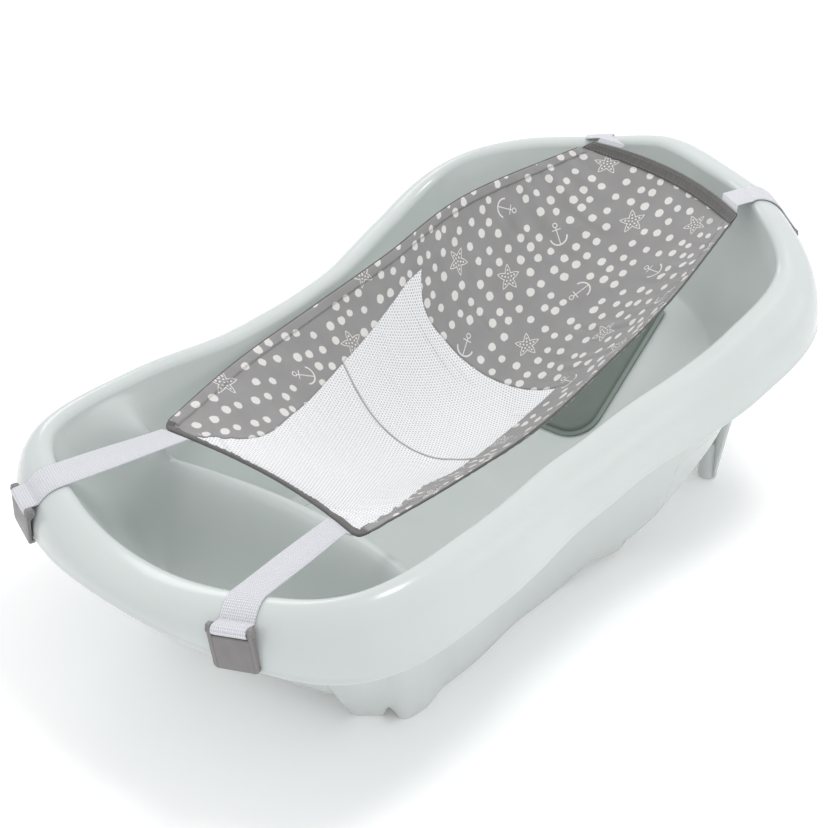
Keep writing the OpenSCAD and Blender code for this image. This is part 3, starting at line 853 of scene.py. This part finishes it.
def simulate_slack(rest):
    """How far the cloth moves from its taut shape as it settles, held round its edge."""
    m, n = GRID
    work = new_object("cloth_work", rest.reshape(-1, 3), grid_faces(m, n), None)
    group = work.vertex_groups.new(name="held")
    index = np.arange(m * n).reshape(m, n)
    edge = np.unique(np.concatenate([index[0], index[-1], index[:, 0], index[:, -1]]))
    group.add([int(k) for k in edge], 1.0, "REPLACE")
    cloth = add_modifier(work, "CLOTH").settings
    cloth.quality, cloth.mass = 6, 0.12
    cloth.tension_stiffness = cloth.compression_stiffness = 12
    cloth.shear_stiffness, cloth.bending_stiffness = 4, 0.35
    cloth.vertex_group_mass = "held"
    cloth.shrink_min = -SLACK
    scene = bpy.context.scene
    for step in range(1, SETTLE_FRAMES + 1):
        scene.frame_set(step)
    settled = work.evaluated_get(bpy.context.evaluated_depsgraph_get()).data
    place = np.empty(m * n * 3)
    settled.vertices.foreach_get("co", place)
    bpy.data.objects.remove(work)
    scene.frame_set(1)
    shift = place.reshape(m, n, 3) / MM - rest
    size = np.linalg.norm(shift, axis=-1, keepdims=True)
    return shift * np.minimum(1, MOST_SHIFT / np.maximum(size, 1e-6))


def arc_table(rest):
    """Flat coordinates of the cloth, in mm: along the middle line, and across from it."""
    m, n = GRID
    x = run_length(rest[:, n // 2])
    across = np.linalg.norm(np.diff(rest, axis=1), axis=2)
    y = np.concatenate([np.zeros((m, 1)), np.cumsum(across, 1)], 1)
    y -= y[:, n // 2:n // 2 + 1]
    return np.stack([np.repeat(x[:, None], n, 1), y], -1)


REST_GRID = taut(*grid_places())
FLAT_GRID = arc_table(REST_GRID)
SLACK_GRID = simulate_slack(REST_GRID)


def cloth(u, v):
    return taut(np.clip(u, 0, 1), np.clip(v, -1, 1)) + sample(SLACK_GRID, u, v)


def flat(u, v):
    return sample(FLAT_GRID, u, v)


STEP = 0.004


def cloth_frame(u, v):
    """Directions of the cloth: along u, along v and up, and mm for each step of u and of v."""
    u, v = np.broadcast_arrays(np.asarray(u, float), np.asarray(v, float))
    u0, u1 = np.clip(u - STEP, 0, 1), np.clip(u + STEP, 0, 1)
    v0, v1 = np.clip(v - 2 * STEP, -1, 1), np.clip(v + 2 * STEP, -1, 1)
    du = (cloth(u1, v) - cloth(u0, v)) / (u1 - u0)[..., None]
    dv = (cloth(u, v1) - cloth(u, v0)) / (v1 - v0)[..., None]
    normal = unit(np.cross(du, dv))
    return du, dv, normal


def near_inner(u):
    return spline(NEAR_SEAM, np.minimum(u / 0.7, 1) * 5)


def far_inner(u):
    return spline(FAR_SEAM, np.minimum(u / 0.62, 1) * 5)


def back_from(v):
    return spline(BACK_SEAM, (v + 1) * 4)


def mid_from(v):
    return spline(MID_SEAM, (np.clip(v, -0.5, 0.8) + 0.5) / 1.3 * 6)


def foot_from(v):
    """Where the sling starts at the foot, with its corners rounded."""
    over = np.clip(np.abs(v) * SLING_HALF - (SLING_HALF - CORNER), 0, CORNER)
    return (CORNER - np.sqrt(np.maximum(CORNER ** 2 - over ** 2, 0))) / SLING_LENGTH


# ---------------------------------------------------------------- cloth pieces

def motif_places():
    """Flat places of the printed motifs: a loose lattice, shaken a little, with a turn and a kind each."""
    shake = np.random.default_rng(7)
    found = []
    for i in range(-1, 9):
        for j in range(-3, 4):
            x = 72.0 * i + 36.0 * (j % 2) + shake.uniform(-9, 9)
            y = 58.0 * j + shake.uniform(-8, 8)
            found.append((x, y, shake.uniform(0, 2 * math.pi), 1.0 if (i + 2 * j) % 2 else 0.0))
    return np.array(found)


MOTIFS = motif_places()


def put_print(piece, flat_mm):
    """UV layers of the print: flat place, place from the nearest motif, and that motif's turn and kind."""
    mesh = piece.data
    put_uv(piece, "flat", flat_mm * MM)
    corners = np.empty(len(mesh.loops), int)
    mesh.loops.foreach_get("vertex_index", corners)
    starts, sizes = np.empty(len(mesh.polygons), int), np.empty(len(mesh.polygons), int)
    mesh.polygons.foreach_get("loop_start", starts)
    mesh.polygons.foreach_get("loop_total", sizes)
    face = np.repeat(np.arange(len(starts)), sizes)
    middle = flat_mm[corners[starts]]
    nearest = np.argmin(((middle[:, None] - MOTIFS[None, :, :2]) ** 2).sum(-1), 1)[face]
    order = np.concatenate([np.arange(s, s + k) for s, k in zip(starts, sizes)])
    local, turn = np.zeros((len(corners), 2)), np.zeros((len(corners), 2))
    local[order] = (flat_mm[corners[order]] - MOTIFS[nearest, :2]) * MM
    turn[order] = MOTIFS[nearest, 2:]
    for name, values in (("motif", local), ("turn", turn)):
        layer = mesh.uv_layers.new(name=name)
        layer.data.foreach_set("uv", values.ravel())


def panel(name, u, v, lift, thick, material, slot, node):
    """A panel of the sling over a grid of surface places."""
    _, _, up = cloth_frame(u, v)
    points = cloth(u, v) + lift * up
    piece = new_object(name, points.reshape(-1, 3), grid_faces(*u.shape), material)
    put_print(piece, flat(u, v).reshape(-1, 2))
    add_modifier(piece, "SOLIDIFY", thickness=thick * MM, offset=0, use_even_offset=True)
    finish_piece(piece, "sling", slot, node)
    corner = points[:-1, :-1]
    cell = np.linalg.norm(np.cross(points[1:, :-1] - corner, points[:-1, 1:] - corner), axis=-1)
    spread = flat(u, v).reshape(-1, 2)
    piece.visible_diffuse = False       # thin cloth: the tub under it still sees the studio's soft light
    piece.visible_shadow = False


def blend_grid(low, high, count):
    """Values from low to high, in count steps, for each entry of low and high."""
    t = np.linspace(0, 1, count)
    return low[:, None] + (high - low)[:, None] * t


def make_panels(print_cloth, mesh_cloth):
    over = 0.022            # how far the printed cloth laps over the mesh, as a share of v
    v = np.linspace(-1, 1, 97)
    u = blend_grid(back_from(v), np.full(v.shape, 1.0), 81).T
    panel("back_panel_cloth", u, np.broadcast_to(v, u.shape), 0.35, 0.8, print_cloth, "cloth", "back_panel")
    for name, edge, inner, node in (("near_wing_cloth", -1.0, near_inner, "near_wing"),
                                    ("far_wing_cloth", 1.0, far_inner, "far_wing")):
        t = np.linspace(0, 1, 33)[None, :]
        lines = np.linspace(0, 1, 121)[:, None]
        u = lines * np.ones_like(t)
        for _ in range(3):       # the ends follow the back seam and the rounded foot
            inside_v = inner(u[:, -1])[:, None]
            vv = inside_v + (edge - inside_v) * (1 - t)
            u = foot_from(vv) + (back_from(vv) + 0.012 - foot_from(vv)) * lines
        panel(name, u, vv, 0.3, 0.8, print_cloth, "cloth", node)
    t = np.linspace(0, 1, 81)
    for name, start, end, node in (("seat_mesh_foot", foot_from, mid_from, "seat_mesh_lower"),
                                   ("seat_mesh_seat", mid_from, back_from, "seat_mesh_upper")):
        lines = np.linspace(0, 1, 97)[:, None]
        u = np.repeat(lines * 0.5, len(t), 1)
        for _ in range(3):
            low, high = near_inner(u.mean(1)) - over, far_inner(u.mean(1)) + over
            vv = np.clip(low[:, None] + (high - low)[:, None] * t[None, :], -1, 1)
            more = 0.01 if end is back_from else 0.0
            u = start(vv) + (end(vv) + more - start(vv)) * lines
        panel(name, u, vv, -0.55, 0.7, mesh_cloth, "mesh", node)


def c_outline(width, gap, thick):
    """Outline of a strip folded over an edge: distance inward from the edge, and height above the cloth."""
    turns = np.radians(np.arange(90, 271, 30))
    outer = [(width, gap + thick)] + [((gap + thick) * math.cos(a), (gap + thick) * math.sin(a)) for a in turns]
    inner = [(width, -gap)] + [(gap * math.cos(a), gap * math.sin(a)) for a in turns[::-1]]
    spread = [(width * k / 4, gap + thick) for k in (3, 2, 1)]
    low = [(width * k / 4, -gap - thick) for k in (1, 2, 3)]
    low_inner = [(width * k / 4, -gap) for k in (3, 2, 1)]
    high_inner = [(width * k / 4, gap) for k in (1, 2, 3)]
    return np.array([outer[0]] + spread + outer[1:] + low + [(width, -gap - thick)] + [inner[0]] + low_inner
                    + inner[1:] + high_inner + [(width, gap)])


def strip_points(u, v, inward, outline):
    """Sections of a folded strip along edge places, with a direction inward in (u, v) mm for each."""
    du, dv, _ = cloth_frame(u, v)
    per_u, per_v = np.linalg.norm(du, axis=-1), np.linalg.norm(dv, axis=-1)
    d, h = outline[None, :, 0], outline[None, :, 1]
    place_u = u[:, None] + np.maximum(d, 0) * (inward[:, 0] / per_u)[:, None]
    place_v = v[:, None] + np.maximum(d, 0) * (inward[:, 1] / per_v)[:, None]
    way = unit(inward[:, :1] * du / per_u[:, None] + inward[:, 1:] * dv / per_v[:, None])
    _, _, ups = cloth_frame(place_u, place_v)
    points = cloth(place_u, place_v) + h[..., None] * ups + np.minimum(d, 0)[..., None] * way[:, None]
    return points, place_u, place_v


def folded_strip(name, u, v, inward, width, gap, thick, material, slot, nodes, printed=False):
    """A strip of cloth folded over an edge of the sling."""
    outline = c_outline(width, gap, thick)
    points, place_u, place_v = strip_points(u, v, inward, outline)
    along = run_length(points[:, 0])
    piece = new_object(name, *tube(points), material)
    outward_faces(piece)
    if printed:
        put_print(piece, flat(place_u, place_v).reshape(-1, 2))
    else:
        put_flat(piece, run_length(outline), along)
    finish_piece(piece, "sling", slot, *nodes)


def stitches(name, u, v, inward, inset, lift, material, length=2.3, gap=1.1, radius=0.3):
    """A row of sewn threads beside an edge."""
    fine = np.linspace(0, 1, 600)
    src = np.linspace(0, 1, len(u))
    u, v = np.interp(fine, src, u), np.interp(fine, src, v)
    inward = np.stack([np.interp(fine, src, inward[:, k]) for k in (0, 1)], 1)
    points, pu, pv = strip_points(u, v, inward, np.array([[inset, lift]]))
    points, pu, pv = points[:, 0], pu[:, 0], pv[:, 0]
    up = cloth_frame(pu, pv)[2]
    run = run_length(points)
    at = np.arange(1, run[-1] - length, length + gap)
    shares = np.array([0, 0.12, 0.35, 0.65, 0.88, 1])
    fat = np.array([0.25, 0.8, 1, 1, 0.8, 0.25])
    sink = np.array([-0.3, 0.05, 0.12, 0.12, 0.05, -0.3])
    turns = np.arange(6) * math.pi / 3
    threads = []
    for start in at:
        s = start + shares * length
        p = np.stack([np.interp(s, run, points[:, k]) for k in range(3)], 1)
        n = unit(np.stack([np.interp(s, run, up[:, k]) for k in range(3)], 1))
        side = unit(np.cross(p[-1] - p[0], n))
        rings = (p + n * sink[:, None])[:, None] + radius * fat[:, None, None] * (
            np.cos(turns)[None, :, None] * side[:, None] + np.sin(turns)[None, :, None] * n[:, None])
        threads.append(tube(rings))
    finish_piece(new_object(name, *join(*threads), material), "sling", "tape")


def round_cord(name, points, radius, material, slot, *nodes):
    """A round cord along points in mm."""
    way = unit(np.gradient(points, axis=0))
    side = unit(np.cross(way, np.array([0, 0, 1.0])))
    top = np.cross(side, way)
    a = np.arange(10) * 2 * math.pi / 10
    turned = np.cos(a)[None, :, None] * side[:, None] + np.sin(a)[None, :, None] * top[:, None]
    piece = new_object(name, *tube(points[:, None] + radius * turned), material)
    outward_faces(piece)
    put_flat(piece, a * radius, run_length(points))
    finish_piece(piece, "sling", slot, *nodes)


def make_bindings(print_cloth, tape, thread, seam):
    count = 161
    ones, zeros = np.ones(count), np.zeros(count)
    v = np.linspace(-1, 1, count)
    head = (ones, v, np.stack([-ones, zeros], 1))
    folded_strip("head_binding", *head, 11, 0.9, 0.6, tape, "tape", ["head_tape"])
    for row, inset in (("outer", 2.0), ("inner", 9.0)):
        stitches("head_stitches_" + row, *head, inset, 1.55, thread)
    # the foot binding runs round both corners
    turn = np.radians(np.linspace(90, 0, 14))
    corner_v = ((SLING_HALF - CORNER) + CORNER * np.sin(turn)) / SLING_HALF
    corner_u = CORNER * (1 - np.cos(turn)) / SLING_LENGTH
    middle = np.linspace(-1, 1, 131)[1:-1] * corner_v[-1]
    u = np.concatenate([corner_u, 0 * middle, corner_u[::-1]])
    v = np.concatenate([-corner_v, middle, corner_v[::-1]])
    toward = np.concatenate([np.stack([np.cos(turn), np.sin(turn)], 1), np.stack([0 * middle + 1, 0 * middle], 1),
                             np.stack([np.cos(turn), -np.sin(turn)], 1)[::-1]])
    foot = (u, v, toward)
    folded_strip("foot_binding", *foot, 5.2, 0.9, 0.6, tape, "tape", ["foot_tape"])
    stitches("foot_stitches", *foot, 3.4, 1.55, thread, length=1.9, gap=0.9, radius=0.25)
    u = np.linspace(CORNER / SLING_LENGTH, 0.978, count)
    for side, v0, node in (("near", -1.0, "near_piping"), ("far", 1.0, "far_piping")):
        edge = (u, v0 * ones, np.stack([zeros, -v0 * ones], 1))
        folded_strip(side + "_hem", *edge, 8.5, 0.85, 0.5, print_cloth, "cloth", [], printed=True)
        stitches(side + "_hem_stitches", *edge, 7.2, 1.4, thread, length=2.0, gap=1.0, radius=0.2)
        points = cloth(u, v0 * ones) + 1.3 * unit(v0 * cloth_frame(u, v0 * ones)[1])
        round_cord(side + "_piping_cord", points, 0.9, tape, "tape", node)
    v = np.linspace(-0.46, 0.75, 121)
    points = cloth(mid_from(v), v) + 0.15 * cloth_frame(mid_from(v), v)[2]
    round_cord("mid_seam_cord", points, 0.75, seam, "mesh")


# ---------------------------------------------------------------- straps and clips

CROSSING = dict(head_near=-26.5, head_far=13.5, foot_near=196.0, foot_far=161.0)
ROOT = dict(head_near=(1, -0.84), head_far=(1, 0.84), foot_near=(0, -0.82), foot_far=(0, 0.86))
THROAT_TURN = dict(head_near=36, head_far=14, foot_near=6, foot_far=6)
WEB_WIDTH, WEB_THICK, RIM_PLAY = 26.0, 1.6, 0.6
BAR_RADIUS, LOOP_PLAY, LEAVE = 1.8, 0.3, 42
CLIP_HEIGHT, HOOK_GAP, HOOK_THICK, HOOK_REACH, PLATE_GAP, BAR_BELOW = 34.0, 4.2, 2.0, 1.2, 1.2, 4.0


class Crossing:
    """Where a strap crosses the rim: x out from the crest, y along the rim, z up."""

    def __init__(self, turn):
        self.turn = np.array(turn)
        before, after, zero = self.turn - 1, self.turn + 1, np.array(0.0)
        way = rim_point(after, zero, zero) - rim_point(before, zero, zero)
        rise = math.atan2(way[2], math.hypot(way[0], way[1]))
        ox, oy = outward(self.turn)
        self.x = np.array([ox, oy, 0])
        self.y = np.array([-oy * math.cos(rise), ox * math.cos(rise), math.sin(rise)])
        self.z = np.cross(self.x, self.y)
        self.crest = rim_point(self.turn, zero, zero)
        self.width, self.drop = float(mirrored(RIM_WIDTH, turn)), float(mirrored(RIM_DROP, turn))
        self.bar = np.array([self.width + 1.4, CLIP_HEIGHT - HOOK_GAP - HOOK_THICK - BAR_BELOW - self.drop])

    def point(self, x, y, z):
        x, y, z = np.broadcast_arrays(*(np.asarray(k, float)[..., None] for k in (x, y, z)))
        return self.crest + x * self.x + y * self.y + z * self.z


CROSSINGS = {end: Crossing(turn) for end, turn in CROSSING.items()}


def strap_line(crossing, throat_turn):
    """Middle line of the webbing at a crossing, as (x, z): throat, crest, roll, and round the clip's bar."""
    off = RIM_PLAY + WEB_THICK / 2
    w, h = crossing.width, crossing.drop
    line = [(-(THROAT + off) * math.sin(math.radians(t)), -THROAT + (THROAT + off) * math.cos(math.radians(t)))
            for t in np.linspace(throat_turn, 0, 6)[:-1]]
    for t in np.arange(0, LEAVE + 0.1, 3.5):
        a = math.radians(t)
        n = np.array([h * math.sin(a), w * math.cos(a)])
        line.append(np.array([w * math.sin(a), h * math.cos(a) - h]) + off * n / np.linalg.norm(n))
    around = BAR_RADIUS + LOOP_PLAY + WEB_THICK / 2
    gap = crossing.bar - line[-1]
    lean = math.atan2(gap[1], gap[0]) + math.asin(around / np.linalg.norm(gap))
    first = crossing.bar + around * np.array([-math.sin(lean), math.cos(lean)])
    line += [line[-1] + (first - line[-1]) * k / 4 for k in (1, 2, 3)]
    line += [crossing.bar + around * np.array([-math.sin(lean - a), math.cos(lean - a)])
             for a in np.radians(np.arange(0, 286, 9.5))]
    return np.array(line)


def web_section():
    """Outline of the webbing: across and up, with thin selvedges."""
    half, t = WEB_WIDTH / 2, WEB_THICK / 2
    across = np.array([-1, -0.985, -0.93, -0.86, -0.84, -0.6, -0.3, 0, 0.3, 0.6, 0.84, 0.86, 0.93, 0.985, 1]) * half
    height = np.array([0.35, 0.75, 0.85, 0.85, 1, 1, 1, 1, 1, 1, 1, 0.85, 0.85, 0.75, 0.35]) * t
    return np.concatenate([np.stack([across, height], 1), np.stack([across, -height], 1)[::-1]])


def make_strap(end, material):
    crossing = CROSSINGS[end]
    u0, v0 = ROOT[end]
    way = 2 * u0 - 1
    uu, vv = np.array(float(u0)), np.array(v0)
    du, dv, up = cloth_frame(uu, vv)
    line = strap_line(crossing, THROAT_TURN[end])
    step = np.gradient(line, axis=0)
    step /= np.linalg.norm(step, axis=1, keepdims=True)
    places = crossing.point(line[:, 0], 0, line[:, 1])
    sides = np.broadcast_to(crossing.y, places.shape)
    tops = -step[:, 1:] * crossing.x + step[:, :1] * crossing.z
    # from under the binding to the rim's throat
    per_u = np.linalg.norm(du)
    tucked = [cloth(uu - way * d / per_u, vv) - (1.9 + WEB_THICK / 2) * cloth_frame(uu - way * d / per_u, vv)[2]
              for d in (13.0, 9.0, 5.0)]
    edge = cloth(uu, vv) - (1.0 + WEB_THICK / 2) * up + 1.5 * way * du / per_u
    out = cloth(uu, vv) - 0.5 * up + 7 * way * du / per_u
    shares = np.linspace(0, 1, 26)[:-1]
    ease = shares * shares * (3 - 2 * shares)
    straight = out + shares[:, None] * (places[0] - out)
    sling_side = way * unit(dv)
    root_side = np.broadcast_to(sling_side, (len(tucked) + 1, 3))
    if np.dot(sling_side, crossing.y) < 0:
        sides = -sides
    run_side = unit((1 - ease)[:, None] * sling_side + ease[:, None] * sides[0])
    run_top = unit((1 - ease)[:, None] * up + ease[:, None] * tops[0])
    middle = np.concatenate([np.array(tucked), [edge], straight, places])
    side = np.concatenate([root_side, run_side, sides])
    top = np.concatenate([np.broadcast_to(up, (len(tucked) + 1, 3)), run_top, tops])
    section = web_section()
    rings = middle[:, None] + section[None, :, :1] * side[:, None] + section[None, :, 1:] * top[:, None]
    piece = new_object("webbing_" + end, *tube(rings), material)
    outward_faces(piece)
    run = run_length(middle)
    put_flat(piece, section[:, 0], run)
    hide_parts("strap_" + end, "strap_end_" + end)
    start, stop = crossing.point(-3, 0, 1.4) * MM, crossing.point(3, 0, 1.4) * MM
    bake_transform(piece)


def arc_points(centre, radius, start, stop, count):
    a = np.radians(np.linspace(start, stop, count))
    return np.stack([centre[0] + radius * np.cos(a), centre[1] + radius * np.sin(a)], 1)


def make_clip(end, material):
    """A clip: a plate with a hook under the rim's edge, two cheeks, and the bar between them."""
    crossing = CROSSINGS[end]
    w, bar = crossing.width, crossing.bar
    bottom = -crossing.drop - HOOK_GAP - HOOK_THICK
    inner, outer = w + PLATE_GAP, w + PLATE_GAP + 2.6
    top = bar[1] + BAR_BELOW
    plate_top = bar[1] - BAR_RADIUS - LOOP_PLAY - WEB_THICK - 0.6
    ear = 1.3
    hook = arc_points((w - HOOK_REACH + 1.1, bottom + 1.1), 1.1, 180, 270, 4)
    heel = arc_points((outer - 1.4, bottom + 1.4), 1.4, 270, 360, 5)
    cheek_top = np.concatenate([arc_points((outer - ear, top - ear), ear, 0, 90, 5),
                                arc_points((bar[0] - 4 + 3, top - 3), 3, 90, 180, 6)])
    back = np.array([[bar[0] - 4, bar[1] - 2], [bar[0] - 3.2, bar[1] - 3.2], [inner, plate_top - 2],
                     [inner, bottom + HOOK_THICK + 0.6], [inner - 0.6, bottom + HOOK_THICK],
                     [w - HOOK_REACH + 0.9, bottom + HOOK_THICK], [w - HOOK_REACH + 0.1, bottom + HOOK_THICK - 0.6]])
    cheek = np.concatenate([hook, heel, cheek_top, back])
    plate = cheek.copy()
    first = len(hook) + len(heel)
    soft = 1.2
    plate[first:first + 5] = arc_points((outer - soft, plate_top - soft), soft, 0, 90, 5)
    plate[first + 5:first + 11] = arc_points((inner + soft, plate_top - soft), soft, 90, 180, 6)
    plate[first + 11] = (inner, plate_top - 1.4)
    plate[first + 12] = (inner, plate_top - 1.7)
    half = (WEB_WIDTH + 7.0) / 2
    corner = 3.2
    rings = []
    dips = np.linspace(0, 1, 5)
    rows = [(-half + corner * (1 - math.cos(a)), corner * (1 - math.sin(a)), cheek) for a in dips * math.pi / 2]
    rows[-1] = (-half + 3, 0.0, cheek)
    rows += [(-half + 3.0, 0.0, plate), (-half + 3.6, 0.0, plate)]
    rows += [(y, 0.0, plate) for y in np.linspace(-half + 6, 0, 4)]
    rows += [(-y, lift, shape) for y, lift, shape in rows[::-1][1:]]
    for y, lift, shape in rows:
        low = np.clip((bottom + 6 - shape[:, 1]) / 6, 0, 1)
        z = shape[:, 1] + lift * low
        rings.append(crossing.point(shape[:, 0], y, z))
    turns = np.arange(20) * 2 * math.pi / 20
    steps = [(0.6, 0.01), (0.6, BAR_RADIUS), (half - 0.6, BAR_RADIUS), (half - 0.6, 2.9), (half + 0.25, 2.9),
             (half + 0.45, 2.5), (half + 0.45, 0.01)]
    steps = [(-y, r) for y, r in steps[:0:-1]] + steps[2:]
    pin = np.array([crossing.point(bar[0] + r * np.cos(turns), y, bar[1] + r * np.sin(turns)) for y, r in steps])
    piece = new_object("clip_body_" + end, *join(tube(np.array(rings)), tube(pin)), material)
    outward_faces(piece)
    add_modifier(piece, "BEVEL", width=0.35 * MM, segments=2, limit_method="ANGLE", angle_limit=math.radians(40))
    piece.data.shade_smooth()
    finish_piece(piece, "clip_" + end, "clip", "clip_" + end)


# ---------------------------------------------------------------- pad, plug and stay

def make_pad(foam, edge):
    """Foam pad: thin pressed rim, and a crowned face above it."""
    start, gap, corner, wide, long, thick = 128.0, 1.8, 30.0, 110.0, 160.0, 6.0
    lean = math.radians(34)
    origin = np.array([start, 0, SEAT_FLOOR + (start - RECLINE_START) * RECLINE_SLOPE])
    along, across = np.array([math.cos(lean), 0, math.sin(lean)]), np.array([0, 1.0, 0])
    up = np.cross(along, across)

    def outline(inset):
        r, low = max(corner - inset, 1), inset
        half, high, small = wide / 2 - inset, long - inset, max(6 - inset, 0.6)
        a = np.radians(np.arange(0, 91, 10))
        lower = [(low + r - r * np.sin(a), -half + r - r * np.cos(a)),
                 (low + r - r * np.cos(a), half - r + r * np.sin(a))]
        upper = [(high - small + small * np.sin(a), half - small + small * np.cos(a)),
                 (high - small + small * np.cos(a), -half + small - small * np.sin(a))]
        return np.concatenate([np.stack(p, 1) for p in lower + upper])

    def subdivided(loop):
        """The outline with its straight sides cut up, so that the rings have even faces."""
        points = []
        for k in range(len(loop)):
            p, q = loop[k], loop[(k + 1) % len(loop)]
            n = 14 if (k + 1) % 10 == 0 else 1
            points += [p + (q - p) * i / n for i in range(n)]
        return np.array(points)

    profile = [(0.6, 0), (0, 0.5), (0, 1.5), (0.5, 2.0), (3.4, 2.0), (4.0, 2.4), (4.6, 4.2), (5.6, 5.3), (7.5, 5.75),
               (12, 5.9), (20, 6.0), (29, 6.0)]
    rings = []
    for inset, z in profile:
        loop = subdivided(outline(inset))
        rings.append(origin + loop[:, :1] * along + loop[:, 1:] * across + (gap + z) * up)
    heart = np.array([long / 2, 0.0])
    core = subdivided(outline(profile[-1][0]))
    for share in (0.75, 0.5, 0.25, 0.02):
        loop = heart + (core - heart) * share
        rings.append(origin + loop[:, :1] * along + loop[:, 1:] * across + (gap + thick) * up)
    pad = new_object("pad_foam", *tube(np.array(rings)), foam)
    pad.data.materials.append(edge)
    count = rings[0].shape[0]
    for k, face in enumerate(pad.data.polygons):
        face.material_index = 1 if k < 5 * count else 0
    outward_faces(pad)
    finish_piece(pad, "tub", "pad", "back_pad")


def make_plug(material):
    """Rubber plug: a tapered stopper, a dished flange and a pull loop."""
    profile = [(0.01, 12.2), (12.2, 12.2), (12.5, 12.6), (12.5, 17.0), (12.6, 19.1), (14.8, 19.15), (15.4, 19.6),
               (15.5, 20.5), (15.1, 21.2), (13.8, 21.55), (12.2, 21.45), (11.2, 21.0), (8, 20.9), (5, 21.05),
               (0.01, 21.1)]
    bend = np.radians(np.linspace(-8, 188, 25))
    ring = np.arange(12) * 2 * math.pi / 12
    reach, thick, flat_thick, base = 7, 1.5, 1.7, 21.2
    loop = np.array([[[DRAIN_X + (reach + thick * math.cos(r)) * math.cos(b), flat_thick * math.sin(r),
                       base + (reach + thick * math.cos(r)) * math.sin(b)] for r in ring] for b in bend])
    plug = new_object("plug_rubber", *join(lathe(DRAIN_X, 0, profile), tube(loop)), material)
    outward_faces(plug)
    finish_piece(plug, "plug", "plug", "drain_plug")


def make_stay(material):
    v = np.linspace(-0.98, 0.98, 81)
    du = cloth_frame(np.ones(81), v)[0]
    points = cloth(np.ones(81), v) - 2.4 * unit(du)
    round_cord("head_stay_rod", points, 1.2, material, "stay", "head_stay")


# ---------------------------------------------------------------- building

make_camera()
make_studio()
make_tub(tub_material())
printed = cloth_material()
tape = plain_cloth_material("binding_tape", srgb(92, 90, 89), srgb(122, 120, 118))
thread = plain_cloth_material("sewing_thread", srgb(128, 126, 124), srgb(158, 155, 152), turns=2 * math.pi / 0.0006)
seam = plain_cloth_material("seam_thread", srgb(196, 192, 192), srgb(214, 210, 210))
make_panels(printed, mesh_material())
make_bindings(printed, tape, thread, seam)
webbing = webbing_material()
clip = clip_material()
for end in ENDS:
    make_strap(end, webbing)
    make_clip(end, clip)
make_pad(foam_material(), edge_material())
make_plug(rubber_material())
make_stay(stay_material())
